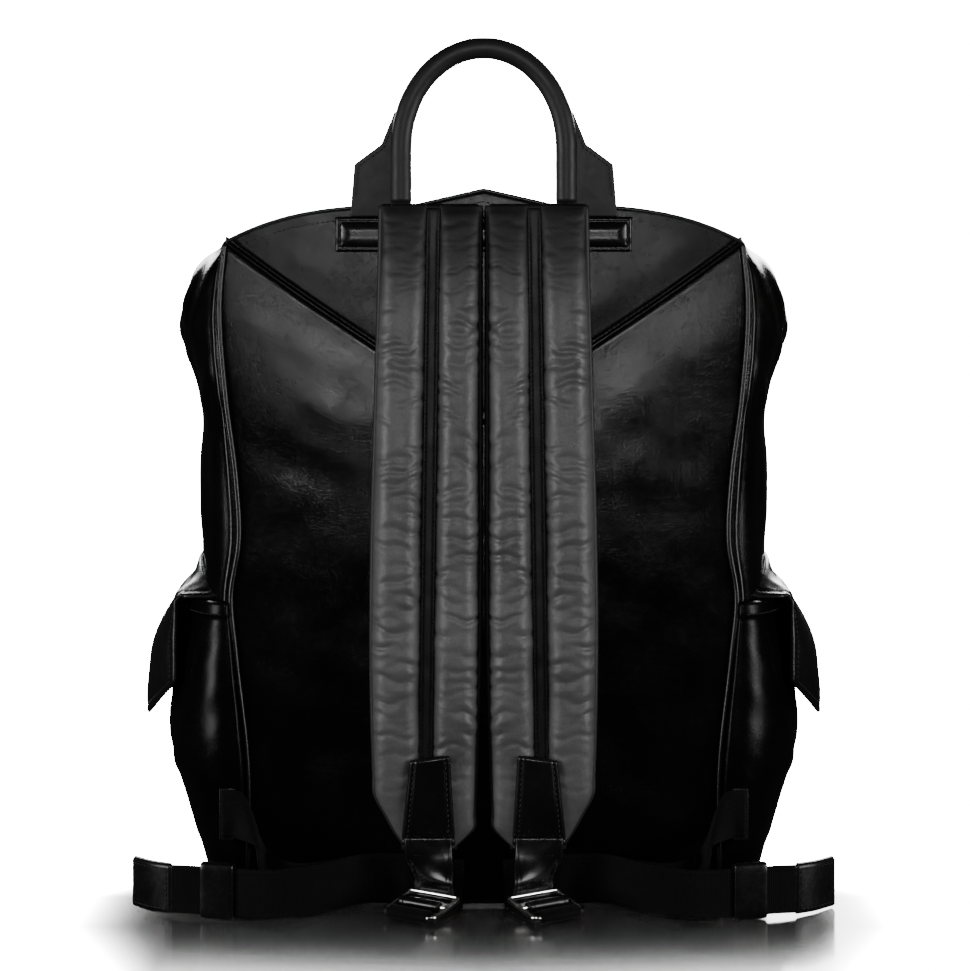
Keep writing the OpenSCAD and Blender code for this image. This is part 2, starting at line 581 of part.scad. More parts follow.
// Behind the band both runs fold down and pass under the buckle to its end bar
main_lead = [
    [28, -85.5, 30, 1, 0, 0], [28, -85.5, 12, 1, 0, 0], [28.2, -86.1, 6, 1, 0.03, 0], [29, -88.7, 2.6, 0.99, 0.1, 0],
    [32, -95.5, 1.6, 0.95, 0.3, 0], [36.5, -105, 1.4, 0.88, 0.47, 0], [41, -113.5, 1.6, 0.83, 0.56, 0],
    [45, -122.1, 3.8, 0.83, 0.56, 0]
];
tail_lead = [
    [28, -87.5, 30, 1, 0, 0], [28, -87.5, 13, 1, 0, 0], [28.3, -88.3, 8, 1, 0.03, 0], [29.5, -90.8, 4.8, 0.99, 0.1, 0],
    [32.2, -96, 3.7, 0.95, 0.3, 0], [36.7, -105, 3.5, 0.88, 0.47, 0], [41, -113, 3.8, 0.83, 0.56, 0],
    [43.6, -118.6, 6, 0.83, 0.56, 0], [45.6, -123, 9.2, 0.83, 0.56, 0]
];
tip_run = [[199.2, -108, 17.6, 0, 0, 1], [212, -99, 17.2, 0, 0, 1], [225, -86, 17, 0, 0, 1]];

module webbing() color(fabric) {
    ribbon(main_run, web_w, web_t);
    ribbon(tail_run, web_w, web_t);
}
module webbing_tips() color(smooth_leather) both_sides() ribbon(tip_run, web_w + 1.5, 4, 3);

// The stretch of both runs that leads to the buckle, and the turn round its end bar
module webbing_lead() color(fabric) {
    ribbon(main_lead, web_w, web_t, 3);
    ribbon(tail_lead, web_w, web_t, 3);
}
module webbing_loop() color(fabric)
    at_buckle() translate([0, -buckle_l, 0]) difference() {
        union() {
            rotate([0, 90, 0]) cylinder(r = 3.6, h = web_w, center = true, $fn = 48);
            translate([-web_w / 2, 0, -3.6]) cube([web_w, 4, 7.2]);
        }
        rotate([0, 90, 0]) cylinder(r = 2, h = web_w + 2, center = true, $fn = 48);
        translate([-web_w / 2 - 1, 0, -2]) cube([web_w + 2, 8, 4]);
    }

// Leather that the webbing is sewn into, at the foot of each back seam
module anchor_tab() color(smooth_leather) translate([160.5, -88.4, 44]) cube([10, 1.6, 33]);

keeper_at = [168, -117, 18.6];
keeper_turn = 16.1;                // direction of the tail where the keeper rides
module keeper() color(smooth_leather) translate(keeper_at) rotate([0, 0, keeper_turn])
    difference() {
        translate([-11, -3.6, -18]) cube([22, 7.2, 36]);
        translate([-12, -1.6, -16]) cube([24, 3.2, 32]);
    }

back_panel();
back_yoke();
back_foam();
front_panel();
front_yoke();
both_sides() gusset();  // gussets
base_panel();
base_board();
lining();
back_piping();
hem_bindings();
top_frame();
zip_facing_back();
zip_tape(-1);  // zip_tape_back
zip_facing_front();
zip_tape(1);  // zip_tape_front
zip_slider();
zip_pull();
handle_grip();
handle_core();
handle_wings();
handle_roots();
handle_patch();
mirror([1, 0, 0]) side_pocket();  // side_pocket_left
side_pocket();  // side_pocket_right
front_pocket();
pocket_hems();
snap_sockets();
flap_roots();
mirror([1, 0, 0]) side_flap();  // side_flap_left
side_flap();  // side_flap_right
front_flap();
mirror([1, 0, 0]) side_snap_cap();  // snap_cap_left
side_snap_cap();  // snap_cap_right
snap_cap_front();
strap_roots();
mirror([1, 0, 0]) strap_outer_pad();  // strap_outer_pad_left
mirror([1, 0, 0]) strap_inner_pad();  // strap_inner_pad_left
mirror([1, 0, 0]) strap_foam();  // strap_foam_left
mirror([1, 0, 0]) strap_base();  // strap_base_left
mirror([1, 0, 0]) strap_patch();  // strap_patch_left
mirror([1, 0, 0]) strap_band();  // strap_band_left
mirror([1, 0, 0]) buckle();  // buckle_left
mirror([1, 0, 0]) webbing_loop();  // webbing_loop_left
mirror([1, 0, 0]) webbing_lead();  // webbing_lead_left
strap_outer_pad();  // strap_outer_pad_right
strap_inner_pad();  // strap_inner_pad_right
strap_foam();  // strap_foam_right
strap_base();  // strap_base_right
strap_patch();  // strap_patch_right
strap_band();  // strap_band_right
buckle();  // buckle_right
webbing_loop();  // webbing_loop_right
webbing_lead();  // webbing_lead_right
mirror([1, 0, 0]) webbing();  // webbing_left
webbing();  // webbing_right
webbing_tips();
both_sides() anchor_tab();  // anchor_tabs
mirror([1, 0, 0]) keeper();  // keeper_left
keeper();  // keeper_right
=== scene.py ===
"""A leather backpack: leather, padding, stitching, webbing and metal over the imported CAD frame.

Lengths in this file are millimetres in the row's own frame, the same as in the CAD: +Z up, the
wearer's back towards -Y. piece() turns them into metres."""

import json
import math

import bmesh
import bpy
from mathutils import Vector
import numpy as np
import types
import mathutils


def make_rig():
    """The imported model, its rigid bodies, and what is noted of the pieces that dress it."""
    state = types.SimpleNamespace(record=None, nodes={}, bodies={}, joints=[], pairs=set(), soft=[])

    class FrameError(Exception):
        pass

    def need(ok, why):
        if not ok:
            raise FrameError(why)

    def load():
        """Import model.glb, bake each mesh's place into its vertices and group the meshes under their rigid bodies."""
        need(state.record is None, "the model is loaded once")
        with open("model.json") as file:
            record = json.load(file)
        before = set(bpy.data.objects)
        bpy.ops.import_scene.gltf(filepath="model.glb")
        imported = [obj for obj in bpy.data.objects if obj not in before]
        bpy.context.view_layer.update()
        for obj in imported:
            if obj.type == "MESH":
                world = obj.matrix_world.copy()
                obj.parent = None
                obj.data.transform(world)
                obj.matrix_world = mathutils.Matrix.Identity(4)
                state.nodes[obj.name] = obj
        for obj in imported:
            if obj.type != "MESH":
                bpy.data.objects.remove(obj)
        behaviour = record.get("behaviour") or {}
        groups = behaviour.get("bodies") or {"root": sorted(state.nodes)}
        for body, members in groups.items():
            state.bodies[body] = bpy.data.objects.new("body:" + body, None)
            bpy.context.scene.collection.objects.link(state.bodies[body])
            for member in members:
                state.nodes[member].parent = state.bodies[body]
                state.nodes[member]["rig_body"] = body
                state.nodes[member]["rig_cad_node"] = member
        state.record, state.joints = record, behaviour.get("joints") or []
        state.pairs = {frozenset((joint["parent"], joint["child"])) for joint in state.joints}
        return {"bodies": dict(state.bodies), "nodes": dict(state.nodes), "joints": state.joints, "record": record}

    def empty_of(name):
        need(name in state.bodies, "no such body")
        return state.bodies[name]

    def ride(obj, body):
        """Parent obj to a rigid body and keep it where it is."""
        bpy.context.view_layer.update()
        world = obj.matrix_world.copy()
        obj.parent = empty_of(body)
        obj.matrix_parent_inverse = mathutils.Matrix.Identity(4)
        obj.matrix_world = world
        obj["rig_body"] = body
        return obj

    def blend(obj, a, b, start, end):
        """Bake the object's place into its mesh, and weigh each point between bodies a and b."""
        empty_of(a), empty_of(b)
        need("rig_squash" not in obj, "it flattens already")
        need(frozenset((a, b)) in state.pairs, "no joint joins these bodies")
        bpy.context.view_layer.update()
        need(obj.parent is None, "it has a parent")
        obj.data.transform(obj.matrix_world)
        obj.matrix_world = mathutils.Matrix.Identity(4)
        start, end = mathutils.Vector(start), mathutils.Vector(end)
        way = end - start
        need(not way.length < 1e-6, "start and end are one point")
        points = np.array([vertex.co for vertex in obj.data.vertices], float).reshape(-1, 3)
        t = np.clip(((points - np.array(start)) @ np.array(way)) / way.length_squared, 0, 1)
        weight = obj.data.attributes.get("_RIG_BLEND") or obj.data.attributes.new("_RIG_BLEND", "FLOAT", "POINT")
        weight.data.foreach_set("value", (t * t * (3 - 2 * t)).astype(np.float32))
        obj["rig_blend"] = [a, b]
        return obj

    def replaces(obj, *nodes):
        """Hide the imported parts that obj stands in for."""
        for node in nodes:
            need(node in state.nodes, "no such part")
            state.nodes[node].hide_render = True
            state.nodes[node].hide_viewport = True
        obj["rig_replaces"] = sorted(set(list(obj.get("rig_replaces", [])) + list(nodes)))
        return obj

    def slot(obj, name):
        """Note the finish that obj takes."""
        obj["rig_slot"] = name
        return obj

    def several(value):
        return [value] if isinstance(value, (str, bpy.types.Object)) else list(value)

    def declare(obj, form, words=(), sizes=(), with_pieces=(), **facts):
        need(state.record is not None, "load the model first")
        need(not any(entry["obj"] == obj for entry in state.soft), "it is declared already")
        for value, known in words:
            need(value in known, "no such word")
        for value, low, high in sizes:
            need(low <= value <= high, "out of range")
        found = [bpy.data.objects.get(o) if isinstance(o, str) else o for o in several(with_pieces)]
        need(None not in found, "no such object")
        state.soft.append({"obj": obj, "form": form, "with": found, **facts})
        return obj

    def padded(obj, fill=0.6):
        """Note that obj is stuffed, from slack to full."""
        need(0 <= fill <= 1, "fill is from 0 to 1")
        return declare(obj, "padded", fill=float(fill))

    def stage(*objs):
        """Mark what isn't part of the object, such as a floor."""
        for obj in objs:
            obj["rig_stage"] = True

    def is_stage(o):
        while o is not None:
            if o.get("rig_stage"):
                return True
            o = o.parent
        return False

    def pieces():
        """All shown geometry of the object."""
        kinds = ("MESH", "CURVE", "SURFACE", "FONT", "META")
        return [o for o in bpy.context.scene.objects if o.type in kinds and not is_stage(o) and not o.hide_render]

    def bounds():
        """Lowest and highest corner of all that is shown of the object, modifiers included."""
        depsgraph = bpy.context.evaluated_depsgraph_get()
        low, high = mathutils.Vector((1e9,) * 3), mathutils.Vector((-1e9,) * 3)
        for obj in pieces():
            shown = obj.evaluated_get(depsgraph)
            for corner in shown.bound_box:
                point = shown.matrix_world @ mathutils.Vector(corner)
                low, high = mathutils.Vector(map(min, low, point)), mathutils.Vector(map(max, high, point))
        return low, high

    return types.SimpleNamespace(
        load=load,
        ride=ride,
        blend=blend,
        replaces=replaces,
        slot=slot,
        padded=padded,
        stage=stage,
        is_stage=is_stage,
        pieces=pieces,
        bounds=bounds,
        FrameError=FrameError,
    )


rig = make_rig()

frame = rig.load()
cad_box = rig.bounds()

MM = 0.001
SIDES = {"left": -1, "right": 1}


# ---------------------------------------------------------------- numbers and curves
def curve(*stations):
    """A smooth function through (place, value) stations, level beyond both ends."""
    x, y = np.array(stations, float).T
    slope = np.gradient(y, x)

    def at(z):
        z = np.clip(z, x[0], x[-1])
        k = np.clip(np.searchsorted(x, z, side="right") - 1, 0, len(x) - 2)
        h = x[k + 1] - x[k]
        t = (z - x[k]) / h
        ends = (2 * t**3 - 3 * t**2 + 1) * y[k] + (3 * t**2 - 2 * t**3) * y[k + 1]
        return ends + (t**3 - 2 * t**2 + t) * h * slope[k] + (t**3 - t**2) * h * slope[k + 1]

    return at


def ramp(x, low, high):
    """0 below low, 1 above high, smooth between them."""
    t = np.clip((x - low) / (high - low), 0, 1)
    return t * t * (3 - 2 * t)


def unit(v):
    return v / np.maximum(np.linalg.norm(v, axis=-1, keepdims=True), 1e-9)


def noise(points, size, seed=0):
    """Smooth noise from -1 to 1 at an array of points. size is its grain, a number or one per axis."""
    p = np.asarray(points, float) / np.asarray(size, float) + 57.31 * seed
    cell = np.floor(p).astype(np.int64)
    f = p - cell
    f = f * f * (3 - 2 * f)
    total = np.zeros(p.shape[:-1])
    for corner in np.ndindex(2, 2, 2):
        ix, iy, iz = (cell[..., k] + corner[k] for k in range(3))
        h = (ix * 374761393 + iy * 668265263 + iz * 1440662683) & 0xFFFFFFFF
        h = ((h ^ (h >> 13)) * 1274126177) & 0xFFFFFFFF
        value = ((h ^ (h >> 16)) & 0xFFFF) / 32767.5 - 1
        weight = np.prod([f[..., k] if corner[k] else 1 - f[..., k] for k in range(3)], axis=0)
        total += value * weight
    return total


def mirrored(points, side):
    return np.asarray(points, float) * [side, 1, 1]


def route(stations, step=1.5):
    """Points every step or so along a smooth line through stations, with any further columns carried along."""
    p = np.array(stations, float)
    p = np.vstack([2 * p[0] - p[1], p, 2 * p[-1] - p[-2]])
    out = []
    for a, b, c, d in zip(p, p[1:], p[2:], p[3:]):
        n = max(2, int(np.linalg.norm(c[:3] - b[:3]) / step))
        for t in np.arange(n) / n:
            out.append(0.5 * (2 * b + (c - a) * t + (2 * a - 5 * b + 4 * c - d) * t**2 + (3 * b - 3 * c + d - a) * t**3))
    return np.array([*out, p[-2]])


def spaced(path, pitch):
    """Evenly spaced places on a polyline, and its direction there."""
    path = np.asarray(path, float)
    reach = np.concatenate([[0], np.cumsum(np.linalg.norm(np.diff(path, axis=0), axis=1))])
    count = max(1, int(reach[-1] / pitch))
    at = (np.arange(count) + 0.5) * reach[-1] / count
    place = np.stack([np.interp(at, reach, path[:, k]) for k in range(path.shape[1])], 1)
    ahead = np.stack([np.interp(at + 0.5, reach, path[:, k]) for k in range(3)], 1)
    behind = np.stack([np.interp(at - 0.5, reach, path[:, k]) for k in range(3)], 1)
    return place, unit(ahead - behind)


# ---------------------------------------------------------------- materials
class Shader:
    """A Principled material that is built up node by node."""

    def __init__(self, name, **values):
        self.material = bpy.data.materials.new(name)
        self.material.use_nodes = True
        self.tree = self.material.node_tree
        self.main = self.tree.nodes["Principled BSDF"]
        for key, value in values.items():
            self.main.inputs[key.replace("_", " ")].default_value = value

    def add(self, kind, **inputs):
        node = self.tree.nodes.new("ShaderNode" + kind)
        for key, value in inputs.items():
            if hasattr(node, key):
                setattr(node, key, value)
                continue
            socket = node.inputs[int(key[1:])] if key[0] == "_" else node.inputs[key.replace("_", " ")]
            if isinstance(value, bpy.types.NodeSocket):
                self.tree.links.new(value, socket)
            else:
                socket.default_value = value
        return node

    def math(self, operation, a, b=0.0):
        return self.add("Math", operation=operation, _0=a, _1=b).outputs[0]

    def remap(self, value, low, high, to_low=0.0, to_high=1.0):
        return self.add("MapRange", _0=value, _1=low, _2=high, _3=to_low, _4=to_high).outputs[0]

    def mix(self, factor, a, b):
        return self.add("MixRGB", _0=factor, _1=a, _2=b).outputs[0]

    def place(self):
        return self.add("TexCoord").outputs["Object"]

    def noise(self, vector, scale, detail=2.0, roughness=0.5):
        return self.add("TexNoise", Vector=vector, Scale=scale, Detail=detail, Roughness=roughness).outputs["Fac"]

    def bump(self, height, distance, normal=None, strength=1.0):
        more = {} if normal is None else {"Normal": normal}
        return self.add("Bump", Height=height, Distance=distance, Strength=strength, **more).outputs[0]

    def use(self, **links):
        for key, value in links.items():
            self.tree.links.new(value, self.main.inputs[key.replace("_", " ")])
        return self.material


def grey(value, warm=0.0):
    return (value * (1 + warm), value, value * (1 - warm), 1)


def leather(name, tone, rough, cell, depth, wear=0.0, coat=0.0, folds=0.12, shine=0.5, shaded_above=None):
    """Leather with a pebbled grain: cells of a size in millimetres, valleys of a depth in millimetres."""
    s = Shader(name, Coat_Weight=coat, Coat_Roughness=0.2, Specular_IOR_Level=shine)
    where = s.place()
    drift = s.add("TexNoise", Vector=where, Scale=300.0, Detail=2.0).outputs["Color"]
    drift = s.add("VectorMath", operation="SCALE", _0=drift, Scale=0.6 * cell * MM).outputs[0]
    bent = s.add("VectorMath", operation="ADD", _0=where, _1=drift).outputs[0]
    edge = s.add("TexVoronoi", feature="DISTANCE_TO_EDGE", Vector=bent, Scale=1 / (cell * MM)).outputs["Distance"]
    dome = s.remap(edge, 0.0, 0.35)
    dome = s.math("POWER", dome, 0.6)
    patchy = s.remap(s.noise(where, 38.0, 3.0), 0.35, 0.7, 0.45, 1.0)
    grain = s.math("MULTIPLY", dome, patchy)
    pores = s.noise(where, 2600.0, 1.0)
    normal = s.bump(s.noise(where, 120.0, 4.0, 0.6), folds * MM)
    normal = s.bump(pores, 0.03 * MM, normal)
    normal = s.bump(grain, depth * MM, normal)
    cloud = s.noise(where, 22.0, 4.0)
    scuff = s.remap(s.noise(where, 210.0, 5.0, 0.65), 0.45, 0.75)
    roughness = s.math("ADD", s.remap(cloud, 0.3, 0.7, rough - 0.05, rough + 0.06), s.math("MULTIPLY", scuff, 0.07))
    roughness = s.math("SUBTRACT", roughness, s.math("MULTIPLY", dome, 0.05))
    worn = s.remap(s.add("NewGeometry").outputs["Pointiness"], 0.52, 0.62, 0.0, wear)
    colour = s.mix(s.remap(cloud, 0.3, 0.7), grey(tone * 0.75), grey(tone * 1.2))
    # Darker in the valleys between the pebbles: painted shade in the grain's hollows
    colour = s.mix(s.math("MULTIPLY", s.math("SUBTRACT", 1.0, dome), 0.5), colour, grey(tone * 0.4))
    colour = s.mix(worn, colour, grey(tone * 4))
    if shaded_above:
        # Above these heights the colour is painted almost black, a painted shade over the strap tops where they turn up
        # away from the light, and the leather is rougher there
        high = s.add("SeparateXYZ", Vector=where).outputs[2]
        high = s.remap(s.math("ADD", high, s.math("MULTIPLY", cloud, 0.01)), *shaded_above)
        colour = s.mix(high, colour, grey(tone * 0.03))
        roughness = s.math("ADD", roughness, s.math("MULTIPLY", high, 0.15))
    return s.use(Base_Color=colour, Roughness=roughness, Normal=normal)


def woven(name, tone, pitch, depth, rough=0.7, rib=1.0, shine=0.25):
    """Cloth or webbing woven on its UV grid: pitch in millimetres between ribs across the length."""
    s = Shader(name, Sheen_Weight=0.02, Sheen_Roughness=0.4, Specular_IOR_Level=shine)
    uv = s.add("TexCoord").outputs["UV"]
    split = s.add("SeparateXYZ", Vector=uv)
    across, along = split.outputs[0], split.outputs[1]
    turn = 2 * math.pi / (pitch * MM)
    wave_a = s.math("SINE", s.math("MULTIPLY", along, turn))
    wave_b = s.math("SINE", s.math("MULTIPLY", across, turn * 0.8))
    over = s.math("MULTIPLY", wave_a, wave_b)
    ribs = s.math("ADD", s.math("MULTIPLY", wave_a, rib), s.math("MULTIPLY", over, 0.8))
    where = s.place()
    fuzz = s.noise(where, 1800.0, 3.0)
    normal = s.bump(fuzz, 0.12 * MM)
    normal = s.bump(s.remap(ribs, -1.6, 1.6), depth * MM, normal)
    # Darker between the ribs and lighter on their crests: painted shade in the hollows of the weave's relief
    colour = s.mix(s.remap(ribs, -1.2, 1.2), grey(tone * 0.45), grey(tone * 1.3))
    colour = s.mix(s.math("MULTIPLY", fuzz, 0.3), colour, grey(tone * 2))
    roughness = s.remap(s.noise(where, 60.0), 0.3, 0.7, rough - 0.06, rough + 0.08)
    return s.use(Base_Color=colour, Roughness=roughness, Normal=normal)


def metal(name, tone, rough):
    """Polished plating with hairline scratches and a little handling haze."""
    s = Shader(name, Metallic=1.0)
    where = s.place()
    stretched = s.add("Mapping", Vector=where, Scale=(1.0, 1.0, 14.0)).outputs[0]
    hair = s.noise(stretched, 900.0, 4.0, 0.7)
    haze = s.remap(s.noise(where, 160.0, 4.0), 0.4, 0.7, rough, rough + 0.14)
    colour = s.mix(s.remap(hair, 0.3, 0.7), grey(tone * 0.9, 0.01), grey(tone, 0.02))
    return s.use(Base_Color=colour, Roughness=haze, Normal=s.bump(hair, 0.01 * MM))


def foam(name, tone):
    s = Shader(name, Roughness=0.9)
    where = s.place()
    cells = s.add("TexVoronoi", Vector=where, Scale=1400.0).outputs["Distance"]
    colour = s.mix(cells, grey(tone, 0.05), grey(tone * 0.6, 0.05))
    return s.use(Base_Color=colour, Normal=s.bump(cells, 0.2 * MM))


MATERIAL = {
    "pebbled_leather": leather("pebbled_leather", 0.002, 0.21, 1.5, 0.06, wear=0.2, folds=0.06, shine=0.16),
    "pocket_leather": leather("pocket_leather", 0.002, 0.25, 1.3, 0.04, wear=0.2, folds=0.06, shine=0.07),
    "smooth_leather": leather("smooth_leather", 0.004, 0.27, 0.8, 0.015, wear=0.3, folds=0.07, shine=0.25),
    # A darker, less glossy copy of smooth_leather for the yokes: painted shade where the yokes tilt away from the key
    # light
    "yoke_leather": leather("yoke_leather", 0.002, 0.24, 0.9, 0.02, wear=0.2, folds=0.05, shine=0.08),
    # Strap leather is painted almost black above 0.385 to 0.43 m: painted shade over the strap tops
    "strap_leather": leather("strap_leather", 0.064, 0.46, 0.9, 0.08, wear=0.1, folds=0.4, shine=0.35, shaded_above=(0.385, 0.43)),
    "matt_leather": leather("matt_leather", 0.01, 0.5, 0.8, 0.02, wear=0.1, folds=0.06, shine=0.25),
    "webbing": woven("webbing", 0.003, 1.5, 0.25, shine=0.04),
    "zip_tape": woven("zip_tape", 0.02, 0.8, 0.1),
    "lining_fabric": woven("lining_fabric", 0.07, 0.7, 0.08, rough=0.8),
    "nickel": metal("nickel", 0.82, 0.09),
    "zip_metal": metal("zip_metal", 0.8, 0.13),
    "padding": foam("padding", 0.45),
    "stiffener": foam("stiffener", 0.08),
    "thread": woven("thread", 0.006, 0.5, 0.05, rough=0.5),
    "edge_paint": leather("edge_paint", 0.02, 0.3, 2.5, 0.02, coat=0.5),
}
SLOT_OF = {"pocket_leather": "pebbled_leather", "thread": "smooth_leather", "yoke_leather": "smooth_leather", "matt_leather": "smooth_leather", "edge_paint": "smooth_leather"}


# ---------------------------------------------------------------- pieces from nets of points
def piece(name, points, faces, look, body=None, uv=None, replaces=()):
    mesh = bpy.data.meshes.new(name)
    mesh.from_pydata((np.asarray(points, float).reshape(-1, 3) * MM).tolist(), [], [list(map(int, f)) for f in faces])
    work = bmesh.new()
    work.from_mesh(mesh)
    bmesh.ops.recalc_face_normals(work, faces=work.faces)
    work.to_mesh(mesh)
    work.free()
    if uv is not None:
        corner = np.zeros(len(mesh.loops), np.int64)
        mesh.loops.foreach_get("vertex_index", corner)
        mesh.uv_layers.new(name="UVMap").data.foreach_set("uv", (np.asarray(uv)[corner] * MM).ravel())
    mesh.shade_smooth()
    obj = bpy.data.objects.new(name, mesh)
    bpy.context.scene.collection.objects.link(obj)
    mesh.materials.append(MATERIAL[look])
    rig.slot(obj, SLOT_OF.get(look, look))
    if body:
        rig.ride(obj, body)
    if replaces:
        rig.replaces(obj, *replaces)
    return obj


def quads(rows, cols, wrap=False):
    r = np.arange(rows - 1)[:, None]
    c = np.arange(cols if wrap else cols - 1)[None, :]
    a, b = r * cols + c, r * cols + (c + 1) % cols
    return np.stack([a, b, b + cols, a + cols], -1).reshape(-1, 4)


def net_uv(net):
    """Distance across and along a net of points, in millimetres."""
    across = np.linalg.norm(np.diff(net, axis=1), axis=-1)
    along = np.linalg.norm(np.diff(net, axis=0), axis=-1)
    u = np.concatenate([np.zeros((len(net), 1)), np.cumsum(across, 1)], 1)
    u -= u[:, [u.shape[1] // 2]]
    v = np.concatenate([[0], np.cumsum(along.mean(1))])
    return np.stack([u, np.broadcast_to(v[:, None], u.shape)], -1).reshape(-1, 2)


def net_normals(net, wrap=False):
    if wrap:
        du = np.roll(net, -1, 1) - np.roll(net, 1, 1)
    else:
        du = np.gradient(net, axis=1)
    return unit(np.cross(du, np.gradient(net, axis=0)))


def sheet(name, outer, inner, look, body=None, **more):
    """A closed sheet between two nets of points, with a rounded rim."""
    rows, cols = outer.shape[:2]
    n = rows * cols
    index = np.arange(n).reshape(rows, cols)
    rim = np.concatenate([index[0, :-1], index[:-1, -1], index[-1, :0:-1], index[:0:-1, 0]])
    back = np.pad(index[1:-1, 1:-1], 1, mode="edge")
    within = np.concatenate([back[0, :-1], back[:-1, -1], back[-1, :0:-1], back[:0:-1, 0]])
    a, b = outer.reshape(-1, 3), inner.reshape(-1, 3)
    half = np.linalg.norm(a[rim] - b[rim], axis=1, keepdims=True) / 2
    edge = (a[rim] + b[rim]) / 2 + unit(a[rim] - a[within]) * half
    m = 2 * n + np.arange(len(rim))
    r1, m1 = np.roll(rim, -1), np.roll(m, -1)
    faces = [
        *quads(rows, cols),
        *(quads(rows, cols)[:, ::-1] + n),
        *np.stack([r1, rim, m, m1], 1),
        *np.stack([m1, m, rim + n, r1 + n], 1),
    ]
    uv = net_uv(outer)
    return piece(name, np.vstack([a, b, edge]), faces, look, body, uv=np.vstack([uv, uv, uv[rim]]), **more)


def skin(name, rings, look, body=None, closed=False, **more):
    """A solid through rings of points, either capped at both ends or closed into a ring."""
    rings = np.asarray(rings, float)
    rows, cols = rings.shape[:2]
    faces = quads(rows, cols, wrap=True).tolist()
    if closed:
        faces += [[(rows - 1) * cols + i, (rows - 1) * cols + (i + 1) % cols, (i + 1) % cols, i] for i in range(cols)]
    else:
        faces += [list(range(cols)), list(range((rows - 1) * cols, rows * cols))]
    return piece(name, rings, faces, look, body, uv=net_uv(rings), **more)


def sweep(path, section, up, closed=False):
    """Rings of a section laid across a path. The section's first axis is sideways, its second is up."""
    path, section = np.asarray(path, float), np.asarray(section, float)
    if closed:
        along = unit(np.roll(path, -1, 0) - np.roll(path, 1, 0))
    else:
        along = unit(np.gradient(path, axis=0))
    side = unit(np.cross(along, np.broadcast_to(up, path.shape)))
    top = np.cross(side, along)
    if section.ndim == 2:
        section = np.broadcast_to(section, (len(path), *section.shape))
    return path[:, None] + side[:, None] * section[..., :1] + top[:, None] * section[..., 1:]


def oval(a, b, n=16, square=1.0):
    """A section with half widths a and b; square below 1 makes its corners fuller."""
    t = np.arange(n) * 2 * math.pi / n
    c, s = np.cos(t), np.sin(t)
    return np.stack([a * np.sign(c) * abs(c) ** square, b * np.sign(s) * abs(s) ** square], 1)


def stitches(name, rows, body):
    """Rows of thread. Each row is its points, the outward direction there, and the pitch."""
    ring = oval(1, 1, 6)
    points, faces = [], []
    profile = np.array([[-1, 0.25], [-0.75, 0.8], [0, 1], [0.75, 0.8], [1, 0.25]])
    for path, out, pitch in rows:
        path = np.asarray(path, float)
        place, along = spaced(np.hstack([path, np.broadcast_to(out, path.shape)]), pitch)
        out = unit(place[:, 3:])
        place = place[:, :3]
        side = unit(np.cross(along, out))
        along = unit(along + 0.16 * side)
        thick = 0.105 * pitch
        for p, t, s, o in zip(place, along, side, out):
            first = len(points)
            for x, r in profile:
                for a, b in ring:
                    lift = 0.16 * pitch * (1 - x * x) - 0.2 * thick
                    points.append(p + t * x * pitch * 0.42 + s * a * r * thick + o * (lift + b * r * thick))
            faces += (quads(len(profile), 6, wrap=True) + first).tolist()
            faces += [[first + k for k in range(6)], [first + 24 + k for k in range(6)]]
    return piece(name, points, faces, "thread", body, uv=np.array(points)[:, :2])


def plate(name, outline, low, high, look, body=None, rim=1.0, frame_at=None, **more):
    """Flat leather cut to an outline in X and Z, between two depths along Y, with rounded edges."""
    work = bmesh.new()
    ring = [work.verts.new((x * MM, low * MM, z * MM)) for x, z in outline]
    face = work.faces.new(ring)
    top = bmesh.ops.extrude_face_region(work, geom=[face])
    verts = [v for v in top["geom"] if isinstance(v, bmesh.types.BMVert)]
    bmesh.ops.translate(work, verts=verts, vec=(0, (high - low) * MM, 0))
    sharp = [e for e in work.edges if len(e.link_faces) == 2 and e.calc_face_angle(0) > 0.3]
    bmesh.ops.bevel(work, geom=sharp, offset=rim * MM, segments=3, profile=0.6, affect="EDGES")
    bmesh.ops.recalc_face_normals(work, faces=work.faces)
    mesh = bpy.data.meshes.new(name)
    work.to_mesh(mesh)
    work.free()
    mesh.shade_smooth()
    obj = bpy.data.objects.new(name, mesh)
    bpy.context.scene.collection.objects.link(obj)
    mesh.materials.append(MATERIAL[look])
    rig.slot(obj, SLOT_OF.get(look, look))
    if body:
        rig.ride(obj, body)
    if more.get("replaces"):
        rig.replaces(obj, *more["replaces"])
    return obj


# ---------------------------------------------------------------- shape of the bag
corner_h, hem_rise, peak_rise, half_w, v_point = 430, 24, 10, 168, 312
base_t, leather_t = 4, 2.5
gap = 0.2

panel_x = curve((0, 153), (90, 152), (165, 160), (200, 163), (235, 158), (276, 160), (330, 167), (395, 171), (430, 168), (470, 166))
back_y = curve((0, -77), (60, -82), (150, -83), (300, -79), (430, -73), (470, -70))
front_y = curve((0, 76), (60, 83), (150, 85), (250, 79), (340, 66), (430, 50), (470, 46))
fold_x = curve((0, 182), (60, 188), (200, 191), (290, 191), (318, 190), (345, 199), (380, 208), (400, 202), (418, 190), (430, 173), (470, 170))


def hem_z(u):
    return corner_h + hem_rise * (1 - u**4) + peak_rise * np.maximum(0, 1 - abs(u * half_w) / 44)


def seam_z(u):
    return v_point + (corner_h - 2 - v_point) * abs(u)


def wall(face, low, high, nu, nv, out=0.0, share=1.0):
    """Points of the back (-1) or front (1) wall between two heights, standing out by a distance."""
    s, t = np.meshgrid(np.linspace(-share, share, nu), np.linspace(0, 1, nv))
    z = low(s) + (high(s) - low(s)) * t
    y = (back_y if face < 0 else front_y)(z)
    out = out(s, z) if callable(out) else out
    return np.stack([s * panel_x(z), y + face * out, z], -1)


